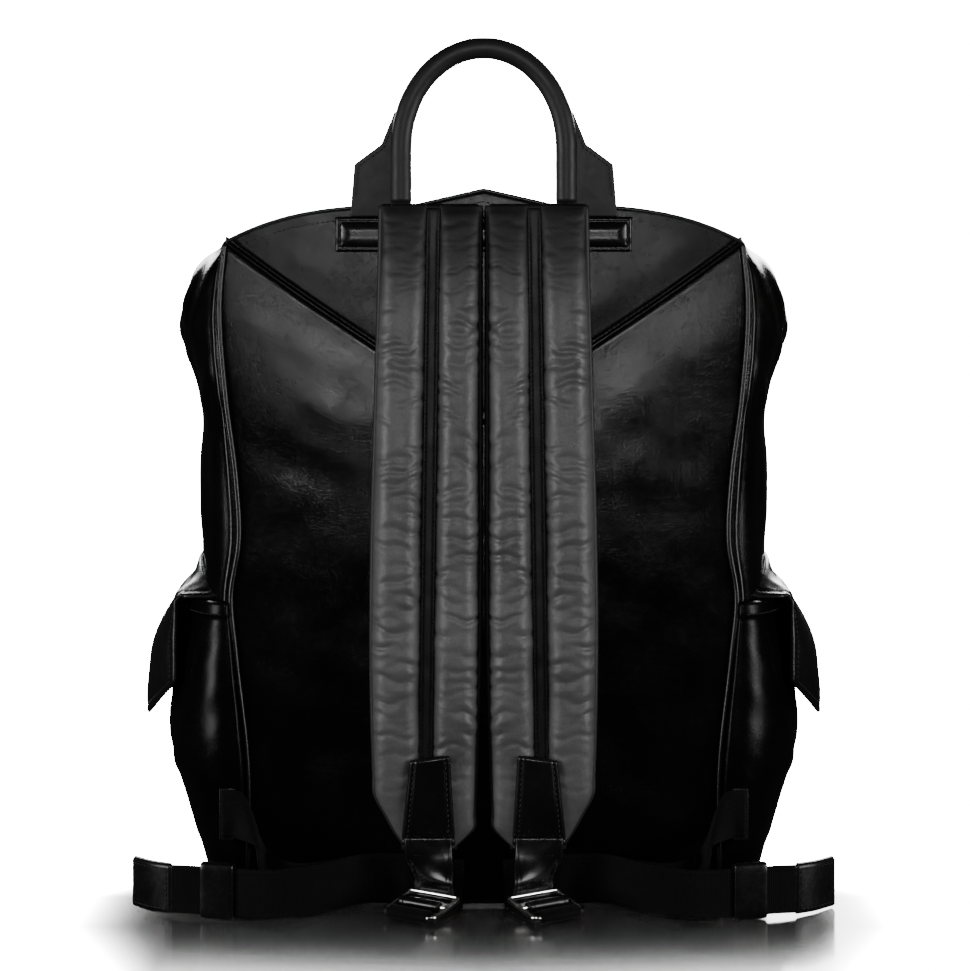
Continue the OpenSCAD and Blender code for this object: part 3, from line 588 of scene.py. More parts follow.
def slump(points, height=1.0, seed=0):
    """Soft, uneven relief of hanging leather."""
    big = noise(points, (95, 95, 70), seed) * 1.3
    lean = np.asarray(points) @ np.array([[1, 0, 0.5], [0, 1, 0], [-0.6, 0, 1]])
    return height * (big + noise(lean, (60, 60, 22), seed + 5) * 0.7 + noise(points, 16, seed + 9) * 0.18)


def side_point(turn, z, inset=0.0):
    """A point of the right side wall: turn 0 is the back seam and 180 the front seam."""
    a = np.radians(turn)
    mid, half = (front_y(z) + back_y(z)) / 2, (front_y(z) - back_y(z)) / 2
    crest = 1 - abs(turn / 90 - 1) ** 1.25
    sharp = ramp(z, 310, 370) * 0.85
    swell = np.sin(a) * (1 - sharp) + crest * sharp
    return np.stack([
        panel_x(z) + (fold_x(z) - panel_x(z) - inset) * swell,
        mid - (half - inset) * np.cos(a),
        z + 0 * turn,
    ], -1)


def both(build, **names):
    return [build(side, k) for side, k in SIDES.items()]


# ---------------------------------------------------------------- back, front and sides
def soft_back(u, z):
    edge = np.sqrt(np.clip(1 - abs(u) ** 6, 0, 1))
    p = np.stack([u * 160, 0 * u, z], -1)
    lower = 1 - ramp(z, 60, 150)
    diagonal = np.sin((abs(u) * 160 * 0.8 + z) / 17 + noise(p, 60, 3) * 2.2)
    return edge * (1.6 * ramp(z, 0, 40) + slump(p, 0.75, 1) + lower * 0.8 * diagonal * ramp(abs(u), 0.25, 0.8))


def panels():
    yoke_lap = 1.5

    def lap(s, z):
        return yoke_lap + 0 * z

    low = lambda u: base_t + 0 * u
    under = lambda u: seam_z(u) + 5
    hem = lambda u: hem_z(u) - 1
    for face, word in ((-1, "back"), (1, "front")):
        tuck = lambda u, z: soft_back(u, z) * (1 - 0.8 * ramp(z - seam_z(u), -60, -2)) - 1.0 * ramp(z - seam_z(u), -1.5, 0.5)
        outer = wall(face, low, under, 150, 170, tuck)
        sheet(f"{word}_panel_leather", outer, wall(face, low, under, 150, 170, -leather_t), "pebbled_leather", "bag",
              replaces=[f"{word}_panel"])

        def yoke_out(u, z):
            above = z - seam_z(u)
            p = np.stack([u * 160, 0 * u, z], -1)
            roll = 0.8 * np.exp(-((above - 1.6) / 1.6) ** 2)
            furrow = -0.55 * np.exp(-((above - 4.6) / 1.1) ** 2)
            return yoke_lap + roll + furrow + slump(p, 0.35, 4) * ramp(above, 6, 30)

        outer = wall(face, seam_z, hem, 200, 60, yoke_out)
        sheet(f"{word}_yoke_leather", outer, wall(face, seam_z, hem, 200, 60, -leather_t), "yoke_leather", "bag",
              replaces=[f"{word}_yoke"])
        rows = []
        for edge, inset in ((seam_z, 4.6), (lambda u: hem_z(u) - 8, 0)):
            u = np.linspace(-0.975, 0.975, 200)
            z = edge(u) + inset
            y = (back_y if face < 0 else front_y)(z) + face * (yoke_lap - 0.45)
            rows.append((np.stack([u * panel_x(z), y, z], 1), (0, face, 0), 3.2))
        stitches(f"{word}_yoke_stitches", rows, "bag")


def gussets():
    levels, turns = np.linspace(base_t, corner_h - 1, 190), np.linspace(0, 180, 84)
    turn, z = np.meshgrid(turns, levels)
    p = side_point(turn, z)
    out = net_normals(p)
    wave = np.sin(np.radians(turn)) ** 0.6
    drape = noise(p, (40, 26, 75), 11) * 2.2 + noise(p, (30, 15, 34), 12) * 0.9 + noise(p, 12, 13) * 0.2
    near_ear = ramp(z, 290, 330) * (1 - ramp(z, 405, 425))
    crumple = noise(p @ np.array([[1, 0, 0.7], [0, 1, 0], [-0.4, 0.3, 1]]), (60, 12, 20), 14) * 2.0 * near_ear
    welt = 1.0 * np.exp(-((turn - 9) / 3.0) ** 2)
    relief = wave * (drape - 1.0 + crumple) * ramp(z, 4, 30) * (1 - ramp(z, 420, 430)) + welt * ramp(z, 10, 40)
    outer = p + out * relief[..., None]
    for side, k in SIDES.items():
        sheet(f"gusset_{side}_leather", mirrored(outer, k), mirrored(side_point(turn, z, leather_t), k), "pebbled_leather",
              "bag", replaces=["gussets"] if side == "left" else [])


def piping_and_hems():
    z = np.linspace(6, corner_h - 2, 260)
    path = np.stack([panel_x(z) + 0.6, back_y(z) - 1.2, z], 1)
    for side, k in SIDES.items():
        rings = sweep(path, oval(1.7, 1.7, 10), (0, -1, 0))
        skin(f"piping_{side}", mirrored(rings, k), "smooth_leather", "bag",
             replaces=["back_piping"] if side == "left" else [])
    u = np.linspace(-1, 1, 240)
    for face, word in ((-1, "back"), (1, "front")):
        h = hem_z(u) - 0.6
        y = (back_y if face < 0 else front_y)(h) - face * 0.6
        path = np.stack([u * panel_x(h), y, h], 1)
        section = oval(3.1, 1.5, 16, 0.7)
        skin(f"{word}_hem_binding", sweep(path, section, (0, 0, 1)), "smooth_leather", "bag",
             replaces=["hem_bindings"] if face < 0 else [])


# ---------------------------------------------------------------- shoulder straps
strap_base_t, channel_w, web_w, web_t = 2.4, 10, 30, 1.6
strap_in = curve((40, 19), (46, 12.2), (52, 7), (60, 6.6), (452, 2.5))
strap_out = curve((40, 50), (46, 54.5), (60, 62.5), (73, 69.2), (86, 69.8), (452, 66))
channel_x = curve((40, 38), (452, 32.5))
strap_y = curve((40, -86), (150, -87.5), (300, -84), (400, -81), (452, -80.5))
pad_t = curve((40, 5), (60, 10), (90, 13), (400, 14), (425, 11.5), (440, 8.5), (449, 5), (453, 2.2))


def puckers(across, along, seed, depth=1.5):
    """Short transverse creases that start at the edges of a pad, with soft lips beside them."""
    rng = np.random.default_rng(seed)
    drop = np.zeros(np.broadcast(across, along).shape)
    z = 48.0
    while z < 436:
        z += rng.uniform(6.0, 14.5)
        start = rng.choice([-1, 1])
        reach = rng.uniform(0.7, 2.1)
        line = z + rng.uniform(-4, 4) * across + rng.uniform(-3, 3) * across**2 + 1.2 * np.sin(across * 5 + z)
        width = rng.uniform(1.0, 2.0)
        fade = 1 - ramp(abs(across - start), reach - 0.5, reach + 0.2)
        away = along - line
        strength = rng.uniform(0.45, 1.0) * depth * fade
        drop += strength * np.exp(-abs(away) / width)
        drop -= 0.4 * strength * np.exp(-((abs(away) - 3.2 * width) / (1.8 * width)) ** 2)
    return drop * ramp(along, 60, 100) * (1 - 0.75 * ramp(along, 412, 436)) * (1 - 0.35 * ramp(150 - along, 0, 60))


def pad(name, left, right, seed):
    """One tube of padding between two edges, crowned in front and flat behind."""
    z = np.concatenate([np.linspace(39.5, 60, 18), np.arange(61.2, 425, 1.25), np.linspace(426, 453, 30)])[:, None]
    t = (np.arange(56) / 56 * 2 * math.pi)[None, :]
    a, b = (right(z) - left(z)) / 2, pad_t(z)
    c, s = np.cos(t), np.sin(t)
    across = np.sign(c) * abs(c) ** 0.8
    front = (s < 0) * abs(s) ** 0.85
    y0 = strap_y(z) - strap_base_t - gap
    x = (left(z) + right(z)) / 2 + a * across
    y = y0 - 0.12 * b - 0.88 * b * front + 0.12 * b * (s > 0) * abs(s) ** 0.5
    net = np.stack([x, y, z + 0 * t], -1)
    out = net_normals(net, wrap=True)
    out *= np.sign(np.sum(out * (net - net.mean(1, keepdims=True)), -1, keepdims=True))
    swell = noise(net, (40, 40, 24), seed + 40) * 0.7 + noise(net, (9, 9, 5), seed + 41) * 0.22
    crease = puckers(across, z + 0 * t, seed) + 0.35 * abs(noise(net, (14, 14, 3.2), seed + 42)) * ramp(net[..., 2], 60, 90)
    net = net + out * ((swell - crease) * front ** 0.4)[..., None]
    return name, net


def strap(side, k):
    body = f"strap_{side}"
    half = channel_w / 2
    outer_edge = lambda z: np.maximum(strap_out(z), channel_x(z) + half + 8)
    pads = [
        pad(f"strap_inner_pad_{side}", strap_in, lambda z: channel_x(z) - half + 0.6, 21),
        pad(f"strap_outer_pad_{side}", lambda z: channel_x(z) + half - 0.6, outer_edge, 22),
    ]
    for (name, net), foam_node in zip(pads, ([f"strap_foam_{side}"], [])):
        obj = skin(f"{name}_leather", mirrored(net, k), "strap_leather", body, replaces=[name, *foam_node])
        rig.padded(obj, fill=0.75)

    # Backing with a thin rolled edge, a little wider than the pads
    z = np.concatenate([np.linspace(38.5, 76, 24), np.linspace(78, 452.2, 150)])
    s = np.linspace(0, 1, 26)[None, :]
    left, right = strap_in(z)[:, None] - 1.0, outer_edge(z)[:, None] + 1.0
    x = left + (right - left) * s
    front = np.stack([x, (strap_y(z) - strap_base_t)[:, None] + 0 * x, z[:, None] + 0 * x], -1)
    back = front + [0, strap_base_t, 0]
    sheet(f"strap_backing_{side}", mirrored(front, k), mirrored(back, k), "matt_leather", body, replaces=[f"strap_base_{side}"])

    # Stitched channel between the pads
    z = np.linspace(96, 450, 300)[:, None]
    s = np.linspace(-1, 1, 15)[None, :]
    high = 0.42 * np.minimum(pad_t(z), 13)
    y = strap_y(z) - strap_base_t - high - 0.9 * np.sqrt(1 - 0.9 * s**2) + 0.5 * np.exp(-((abs(s) - 0.72) / 0.12) ** 2)
    x = channel_x(z) + (half - 0.8) * s + 0 * z
    net = np.stack([x, y, z + 0 * s], -1)
    net[..., 1] += 0.25 * noise(net, (8, 8, 9), 31)
    low = net.copy()
    low[..., 1] = strap_y(z) - strap_base_t + 0.3
    sheet(f"strap_channel_{side}", mirrored(net, k), mirrored(low, k), "matt_leather", body)
    rows = []
    for s in (-0.72, 0.72):
        z1 = np.linspace(98, 449, 200)
        y1 = strap_y(z1) - strap_base_t - 0.42 * np.minimum(pad_t(z1), 13) - 0.25
        rows.append((mirrored(np.stack([channel_x(z1) + (half - 0.8) * s, y1, z1], 1), k), (0, -1, 0), 3.0))
    strap_end(side, k, body, rows)
    stitches(f"strap_stitches_{side}", rows, body)


band_x = 35.6
bar = np.array([31.4, -102, 12.0])
buckle_turn, buckle_drop = math.radians(34), math.radians(12)
buckle_l, mid_bar = 30, (-13, -0.6)


def strap_end(side, k, body, rows):
    """The stitched end patch, from which the leather band goes on round the buckle's bar, and the rows of its
    stitching.
    """
    half = curve((42, 16), (98, 11.5))
    front = lambda z: strap_y(z) - strap_base_t - gap - pad_t(z)

    def patch_y(s, z):
        lift = 2.3 - 0.9 * np.exp(-((abs(s) - 0.86) / 0.07) ** 2) - 0.9 * np.exp(-((z - 46.5) / 1.0) ** 2)
        return front(z) - lift - 0.9 * (1 - s**2)

    s, z = np.meshgrid(np.linspace(-1, 1, 34), np.linspace(43, 98.5, 60))
    shift = -1.2 * (z - 43) / 55
    net = np.stack([band_x + shift + half(z) * s, patch_y(s, z), z - 1.5 * s * (z - 43) / 55], -1)
    under = net.copy()
    under[..., 1] = front(z) + 0.8
    sheet(f"strap_patch_{side}_leather", mirrored(net, k), mirrored(under, k), "smooth_leather", body,
          replaces=[f"strap_patch_{side}"])
    for at in (-0.86, 0.86):
        z1 = np.linspace(47, 97, 40)
        x1 = band_x - 1.2 * (z1 - 43) / 55 + half(z1) * at
        rows.append((mirrored(np.stack([x1, patch_y(at, z1) - 0.1, z1 - 1.5 * at * (z1 - 43) / 55], 1), k), (0, -1, 0), 3.4))
    s1 = np.linspace(-0.84, 0.84, 30)
    rows.append((mirrored(np.stack([band_x + half(46.5) * s1, patch_y(s1, 46.5 + 0 * s1) - 0.1, 46.5 + 0 * s1], 1), k), (0, -1, 0), 3.4))

    # Bar tacks: short dense rows at the corners of the patch's foot
    for x1, z1 in ((42.2, 48.6), (24.9, 46.0)):
        c = np.array([x1, float(patch_y((x1 - band_x) / 15, np.array(z1))) - 0.1, z1])
        rows.append((mirrored(np.stack([c - [2.6, 0, 0.3], c + [2.6, 0, 0.3]]), k), (0, -1, 0), 1.3))


# ---------------------------------------------------------------- buckles and webbing
def at_buckle(points, k):
    """From the buckle's own frame (X along its bar, -Y to its free end) to its place."""
    p = np.asarray(points, float)
    c, s = math.cos(buckle_drop), math.sin(buckle_drop)
    p = np.stack([p[..., 0], p[..., 1] * c - p[..., 2] * s, p[..., 1] * s + p[..., 2] * c], -1)
    c, s = math.cos(buckle_turn), math.sin(buckle_turn)
    p = np.stack([p[..., 0] * c - p[..., 1] * s, p[..., 0] * s + p[..., 1] * c, p[..., 2]], -1)
    return mirrored(p + bar, k)


def band(side, k):
    """The leather band: down from the end patch, behind the front bar, under it and round the middle bar."""
    local = [(2.65, 10), (2.65, 5), (2.65, 0), (2.2, -2.6), (0.2, -3.6), (-4, -3.7), (-9, -3.75)]
    local += [(mid_bar[0] - 2.75 * math.sin(a), mid_bar[1] - 2.75 * math.cos(a)) for a in np.radians(np.linspace(0, 300, 13))]
    stations = [[band_x, -97.2, 47, 1, 0, 0], [band_x, -97.6, 40, 1, 0.02, 0], [band_x - 0.6, -98.2, 33, 1, 0.16, 0]]
    for y, z in local:
        stations.append([*at_buckle([2, y, z], 1), *(at_buckle([3, y, z], 1) - at_buckle([2, y, z], 1))])
    line = route(stations, 0.9)
    path, width = line[:, :3], unit(line[:, 3:])
    face = unit(np.cross(unit(np.gradient(path, axis=0)), width))
    s = np.linspace(-1, 1, 33)
    edge = 1.0 - 0.35 * np.exp(-((abs(s) - 0.84) / 0.05) ** 2) - 0.5 * ramp(abs(s), 0.94, 1)
    reach = np.concatenate([[0], np.cumsum(np.linalg.norm(np.diff(path, axis=0), axis=1))])
    thick = np.interp(reach, [0, 52, 62], [1.3, 1.25, 0.9])[:, None] * edge[None, :]
    side_way = path[:, None] + width[:, None] * (s * 15)[None, :, None]
    net = side_way + face[:, None] * thick[..., None]
    net = net + face[:, None] * (0.25 * noise(side_way, (9, 9, 7), 63))[..., None]
    obj = sheet(f"strap_band_{side}_leather", mirrored(net, k), mirrored(side_way - face[:, None] * thick[..., None], k),
                "smooth_leather", None, replaces=[f"strap_band_{side}"])
    at = lambda z: tuple(mirrored((band_x, -97.6, z), k) * MM)
    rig.blend(obj, f"strap_{side}", f"buckle_{side}", start=at(46), end=at(33))
    rows = []
    for x1, z1 in ((42.4, 36.5), (25.2, 34.0)):
        c = np.array([x1, -99.3 + (x1 - band_x) * 0.08, z1])
        rows.append((mirrored(np.stack([c - [2.6, 0.2, 0.3], c + [2.6, -0.2, 0.3]]), k), (0, -1, 0), 1.3))
    stitches(f"strap_band_tacks_{side}", rows, f"buckle_{side}")


def buckle(side, k):
    """A polished frame: a tall flat bar in front, slim arms, a round bar at the free end and one in the middle."""
    hw = 19.3
    path = []
    for cx, cy, a0, r in ((hw, 0, 0, 1.8), (-hw, 0, 90, 1.8), (-hw, -buckle_l, 180, 3.5), (hw, -buckle_l, 270, 3.5)):
        cx, cy = cx - math.copysign(r, cx), cy + (r if cy < 0 else -r)
        for a in np.radians(np.linspace(a0, a0 + 90, 8)):
            path.append((cx + r * math.cos(a), cy + r * math.sin(a), 0))
    dense, _ = spaced(np.array([*path, path[0]]), 0.7)
    dense = dense[:, :3]
    front = ramp(dense[:, 1], -3.5, -0.6)[:, None]
    free = ramp(-dense[:, 1], buckle_l - 4, buckle_l - 1)[:, None]
    wide = 1.15 + 0.45 * free
    tall = 1.35 + 0.5 * front + 0.25 * free
    ring = oval(1, 1, 16, 0.6)
    section = np.stack([ring[None, :, 0] * wide, ring[None, :, 1] * tall], -1)
    rings = sweep(dense, section, (0, 0, 1), closed=True)
    skin(f"buckle_frame_{side}", at_buckle(rings, k), "nickel", f"buckle_{side}", closed=True, replaces=[f"buckle_{side}"])
    x = np.linspace(-hw, hw, 24)
    path = np.stack([x, 0 * x + mid_bar[0], 0 * x + mid_bar[1] * (1 - ramp(abs(x), 17, hw))], 1)
    size = 1.5 * (1 - 0.25 * ramp(abs(x), hw - 2, hw))
    rings = sweep(path, oval(1, 1, 18)[None] * size[:, None, None], (0, 0, 1))
    skin(f"buckle_middle_bar_{side}", at_buckle(rings, k), "nickel", f"buckle_{side}")


def ribbon(name, stations, look, body, k=1, width=30, thick=1.6, step=1.2, hem=0.25, **more):
    """Flat webbing along stations: each a place and the direction of its width. Its edges are woven thicker."""
    line = route(stations, step)
    path, across = line[:, :3], unit(line[:, 3:6])
    along = unit(np.gradient(path, axis=0))
    face = unit(np.cross(along, across))
    s = np.linspace(-1, 1, 25)
    edge = 1 + hem * np.exp(-((abs(s) - 0.93) / 0.05) ** 2) - 0.6 * ramp(abs(s), 0.97, 1.0)
    ripple = 0.25 * noise(np.stack([path[:, 0], path[:, 1], path[:, 2]], 1), 18, 61)[:, None, None]
    top = path[:, None] + across[:, None] * (s * width / 2)[None, :, None] + face[:, None] * ((edge * thick / 2)[None, :, None] + ripple)
    low = path[:, None] + across[:, None] * (s * width / 2)[None, :, None] - face[:, None] * ((edge * thick / 2)[None, :, None] - ripple)
    return sheet(name, mirrored(top, k), mirrored(low, k), look, body, **more)


MAIN_RUN = [
    [168, -89.7, 61, 0, 0, 1], [160, -90, 61, 0, 0, 1], [153, -93.5, 59, 0.1, 0.45, 0.88],
    [148, -97.2, 54, 0.15, 0.8, 0.55], [145, -99, 46, 0.1, 0.97, 0.2], [142.5, -100.3, 37, 0, 0.97, 0.2],
    [138.5, -102.5, 28, 0, 0.8, 0.6], [131, -105.3, 20.8, 0, 0.25, 0.97], [119, -105, 18, 0, 0, 1],
    [107, -101, 17.6, 0, 0, 1], [96, -94.5, 17.8, 0, 0, 1],
    [88, -88.6, 18.2, 0, 0, 1], [80, -83.6, 18.4, 0, 0, 1], [72, -82, 18.5, 0, 0, 1], [62, -81.8, 18.5, 0, 0, 1],
    [43, -81.8, 18.5, 0, 0, 1], [24, -81.8, 18.5, 0, 0, 1],
]
TAIL_RUN = [
    [24, -83.9, 18.5, 0, 0, 1], [43, -83.9, 18.5, 0, 0, 1], [62, -84, 18.5, 0, 0, 1], [72, -84.4, 18.5, 0, 0, 1],
    [81, -87.4, 18.4, 0, 0, 1], [90, -95, 18.2, 0, 0, 1], [98, -104, 18, 0, 0, 1], [106, -112.5, 18.2, 0, 0, 1],
    [114, -119, 18.5, 0, 0, 1], [123, -124.3, 18.8, 0, 0, 1], [134, -126.3, 18.6, 0, 0, 1], [150.7, -122, 18, 0, 0, 1],
    [168, -117, 18, 0, 0, 1], [185.3, -112, 18, 0, 0, 1], [198.8, -108.1, 17.6, 0, 0, 1], [206, -104, 17.4, 0, 0, 1],
]
MAIN_LEAD = [
    [28, -85.5, 30, 1, 0, 0], [28, -85.5, 12, 1, 0, 0], [28.2, -86.1, 6, 1, 0.03, 0], [29, -88.7, 2.6, 0.99, 0.1, 0],
    [32, -95.5, 1.6, 0.95, 0.3, 0], [36.5, -105, 1.4, 0.88, 0.47, 0], [41, -113.5, 1.6, 0.83, 0.56, 0],
]
TAIL_LEAD = [
    [28, -87.5, 30, 1, 0, 0], [28, -87.5, 13, 1, 0, 0], [28.3, -88.3, 8, 1, 0.03, 0], [29.5, -90.8, 4.8, 0.99, 0.1, 0],
    [32.2, -96, 3.7, 0.95, 0.3, 0], [36.7, -105, 3.5, 0.88, 0.47, 0], [41, -113, 3.8, 0.83, 0.56, 0],
    [43.6, -118.6, 6, 0.83, 0.56, 0],
]
TIP_RUN = [[199.2, -108, 17.6, 0, 0, 1], [212, -99, 17.2, 0, 0, 1], [225, -86, 17, 0, 0, 1]]


def webbing(side, k):
    at = lambda x, y, z: tuple(mirrored((x, y, z), k) * MM)
    for word, run in (("main", MAIN_RUN), ("tail", TAIL_RUN)):
        obj = ribbon(f"webbing_{word}_{side}", run, "webbing", None, k,
                     replaces=[f"webbing_{side}"] if word == "main" else [])
        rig.blend(obj, "bag", f"strap_{side}", start=at(120, -100, 20), end=at(60, -100, 20))
    # The two runs that pass under the buckle, in one strip with the turn round its end bar
    arc = [(-buckle_l - 2.8 * math.sin(a), 2.8 * math.cos(a)) for a in np.radians(np.linspace(0, 180, 7))]
    turned = []
    for y, z in [(-26, 2.8), *arc, (-26, -2.8)]:
        turned.append([*at_buckle([0, y, z], 1), *(at_buckle([1, y, z], 1) - at_buckle([0, y, z], 1))])
    strip = [*TAIL_LEAD, *turned, *MAIN_LEAD[::-1]]
    obj = ribbon(f"webbing_lead_{side}_strip", strip, "webbing", None, k, step=0.9,
                 replaces=[f"webbing_lead_{side}", f"webbing_loop_{side}"])
    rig.blend(obj, f"strap_{side}", f"buckle_{side}", start=at(29, -88, 12), end=at(43, -118, 6))

    tip = ribbon(f"webbing_tip_{side}", TIP_RUN, "smooth_leather", "bag", k, width=31.5, thick=4, step=1.0, hem=0,
                 replaces=["webbing_tips"] if side == "left" else [])
    line = route(TIP_RUN, 1.0)
    path, across = line[:, :3], unit(line[:, 3:6])
    face = unit(np.cross(unit(np.gradient(path, axis=0)), across))
    face *= np.sign(-face[:, 1:2])
    rows = []
    for s in (-12.6, 12.6):
        rows.append((mirrored(path[2:-2] + across[2:-2] * s + face[2:-2] * 2.0, k), mirrored(face[2:-2], k), 3.2))
    for i in (2, -3):
        h = np.linspace(-12.6, 12.6, 12)[:, None]
        rows.append((mirrored(path[i] + across[i] * h + face[i] * 2.0, k), mirrored(face[i], k), 3.2))
    stitches(f"webbing_tip_stitches_{side}", rows, "bag")


def keeper(side, k):
    """A leather loop round the tail."""
    turn = math.radians(16.1)
    a, b = 17.0, 2.6
    t = np.linspace(0, 2 * math.pi, 73)[:-1]
    c, s = np.cos(t), np.sin(t)
    loop = np.stack([0 * t, b * np.sign(c) * abs(c) ** 0.5, a * np.sign(s) * abs(s) ** 0.28], 1)
    rings = sweep(loop, oval(11, 0.95, 22, 0.4), (1, 0, 0), closed=True)
    # the section's long side lies along the tail
    section = oval(0.95, 11, 22, 0.4)
    rings = sweep(loop, section, (1, 0, 0), closed=True)
    p = np.stack([
        rings[..., 0] * math.cos(turn) - rings[..., 1] * math.sin(turn),
        rings[..., 0] * math.sin(turn) + rings[..., 1] * math.cos(turn),
        rings[..., 2],
    ], -1) + [168, -117, 18.6]
    skin(f"keeper_loop_{side}", mirrored(p, k), "smooth_leather", f"keeper_{side}", closed=True, replaces=[f"keeper_{side}"])


def anchor_tabs():
    for side, k in SIDES.items():
        outline = [(160.5, 44), (170.5, 44), (170.5, 77), (160.5, 77)]
        plate(f"anchor_tab_{side}", [(k * x, z) for x, z in outline], -88.5, -86.9, "smooth_leather", "bag", rim=0.5,
              replaces=["anchor_tabs"] if side == "left" else [])
        rows = []
        for x in (168.6,):
            rows.append((mirrored([[x, -88.5, 46], [x, -88.5, 75]], k), (0, -1, 0), 3.0))
        stitches(f"anchor_tab_stitches_{side}", rows, "bag")


# ---------------------------------------------------------------- handle
grip_r, leg_x, grip_y, root_z, arch_z, grip_top = 7, 53.5, -81, 456, 490, 555
wing_y = -78


def handle():
    angle = np.linspace(0, 180, 120)
    arch = np.stack([leg_x * np.cos(np.radians(angle)), 0 * angle + grip_y,
                     arch_z + (grip_top - arch_z) * np.sin(np.radians(angle))], 1)
    leg = np.stack([0 * np.arange(20) + leg_x, 0 * np.arange(20) + grip_y, np.linspace(root_z - 0.1, arch_z - 1.5, 20)], 1)
    path = np.vstack([leg, arch, (leg * [-1, 1, 1])[::-1]])
    t = np.arange(36) / 36 * 2 * math.pi
    seam = 0.55 * np.exp(-((np.abs((t - math.pi * 0.5 + math.pi) % (2 * math.pi) - math.pi)) / 0.16) ** 2)
    r = grip_r - 0.15 + seam
    section = np.stack([r * np.cos(t), r * np.sin(t)], 1)
    rings = sweep(path, section, (0, 1, 0))
    out = unit(rings - path[:, None])
    swell = 0.12 * noise(rings, (9, 9, 9), 71) + 0.05 * noise(rings, 3, 72)
    skin("handle_grip_leather", rings + out * swell[..., None], "matt_leather", "handle", replaces=["handle_grip"])

    for side, k in SIDES.items():
        outline = [(leg_x - 6.5, 446), (86.5, 446), (86, root_z), (84, 480), (leg_x + 13, 493), (leg_x + 9, 503),
                   (leg_x + 4.5, 514), (leg_x - 1, 514), (leg_x - 6.5, 494)]
        dense, _ = spaced(np.array([[x, z, 0] for x, z in [*outline, outline[0]]]), 1.2)
        obj = plate(f"handle_wing_{side}", [(k * x, z) for x, z, _ in dense], wing_y, wing_y + 2.8, "matt_leather",
                    rim=0.9, replaces=["handle_wings", "handle_roots"] if side == "left" else [])
        at = lambda z: (k * 0.07, wing_y * MM, z * MM)
        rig.blend(obj, "bag", "handle", start=at(root_z - 2), end=at(root_z + 2))
        edge = [(83.2, root_z + 3), (81.4, 478.6), (leg_x + 11.4, 490.6), (leg_x + 7.4, 501), (leg_x + 4.6, 508)]
        path = [[x, wing_y - 0.1, z] for x, z in edge]
        stitches(f"handle_wing_stitches_{side}", [(mirrored(path, k), (0, -1, 0), 3.2)], "handle")

    # The padded patch behind the straps
    s, t = np.meshgrid(np.linspace(-1, 1, 160), np.linspace(0, 1, 34))
    z = 423.5 + 22 * t
    fromedge = np.minimum(np.minimum(z - 423.5, 445.5 - z), 96 * (1 - abs(s)))
    crown = 2.0 * ramp(fromedge, 1.5, 9) + 0.9 * ramp(433 - z, 0, 6) + 1.1 * ramp(fromedge, 0, 1.2) - 0.7 * np.exp(-((fromedge - 2.6) / 0.8) ** 2)
    net = np.stack([96 * s, -74.9 - crown, z], -1)
    low = net.copy()
    low[..., 1] = back_y(z) - 1.2
    obj = sheet("handle_patch_leather", net, low, "smooth_leather", "bag", replaces=["handle_patch"])
    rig.padded(obj, fill=0.6)
    y = -75.9
    box = [[-93.4, y, 445], [-93.4, y, 426.1], [93.4, y, 426.1], [93.4, y, 445]]
    rows = [(np.array(box[i:i + 2], float), (0, -1, 0), 3.0) for i in range(3)]
    stitches("handle_patch_stitches", rows, "bag")


def strap_tops():
    """The folded leather that the straps hang from, rounded over its top."""
    for side, k in SIDES.items():
        s, t = np.meshgrid(np.linspace(4, 66, 40), np.linspace(0, 1, 24))
        z = 431 + 23 * t
        net = np.stack([s, -80.3 + 1.4 * ramp(z, 448, 454), z], -1)
        low = np.stack([s, -78.3 + 0 * s, z], -1)
        sheet(f"strap_root_{side}", mirrored(net, k), mirrored(low, k), "smooth_leather", "bag",
              replaces=["strap_roots"] if side == "left" else [])


# ---------------------------------------------------------------- pockets and flaps
side_rim_h, front_rim_h, front_pocket_w = 194, 200, 104
side_bulge = curve((16, 1), (34, 5.5), (54, 9), (67, 12.5), (84, 19), (105, 22), (129, 19.5), (150, 16), (170, 12.5), (196, 6.5))
front_bulge = curve((26, 0.5), (40, 18), (70, 34), (130, 38), (205, 28))


def side_pocket(side, k):
    turn, z = np.meshgrid(np.linspace(5, 174, 90), np.linspace(15, side_rim_h + 1.5, 110))
    base = side_point(turn, z)
    out = unit(np.stack([np.sin(np.radians(turn)) / (fold_x(z) - panel_x(z)),
                         -np.cos(np.radians(turn)) / ((front_y(z) - back_y(z)) / 2), 0 * z], -1))
    wave = np.clip(np.sin(np.radians(turn)), 0, 1)
    low = base + out * (gap + side_bulge(z) * wave**0.7)[..., None]
    lean = low @ np.array([[1, 0, 0.5], [0, 1, 0.3], [-0.3, 0.2, 1]])
    sag = noise(lean, (50, 40, 26), 81) * 2.2 + noise(lean, (26, 20, 12), 82) * 0.9 + noise(low, 9, 83) * 0.2
    hem = ramp(z, side_rim_h - 9, side_rim_h - 6)
    relief = (sag - 1.2) * wave**0.7 * (1 - 0.8 * hem) * ramp(z, 15, 34) + 0.8 * hem
    furrow = -0.7 * np.exp(-((z - side_rim_h + 7.6) / 0.9) ** 2)
    top = low + out * (leather_t + relief + furrow)[..., None]
    low = low + out * np.minimum(relief, 0)[..., None]
    sheet(f"side_pocket_{side}_leather", mirrored(top, k), mirrored(low, k), "pocket_leather", "bag",
          replaces=[f"side_pocket_{side}"] + (["pocket_hems"] if side == "left" else []))
    row = 100 - 1
    i = int(np.argmin(abs(z[:, 0] - (side_rim_h - 5.5))))
    stitches(f"side_pocket_stitches_{side}", [(mirrored(top[i, 2:-2], k), mirrored(out[i, 2:-2], k), 3.2)], "bag")


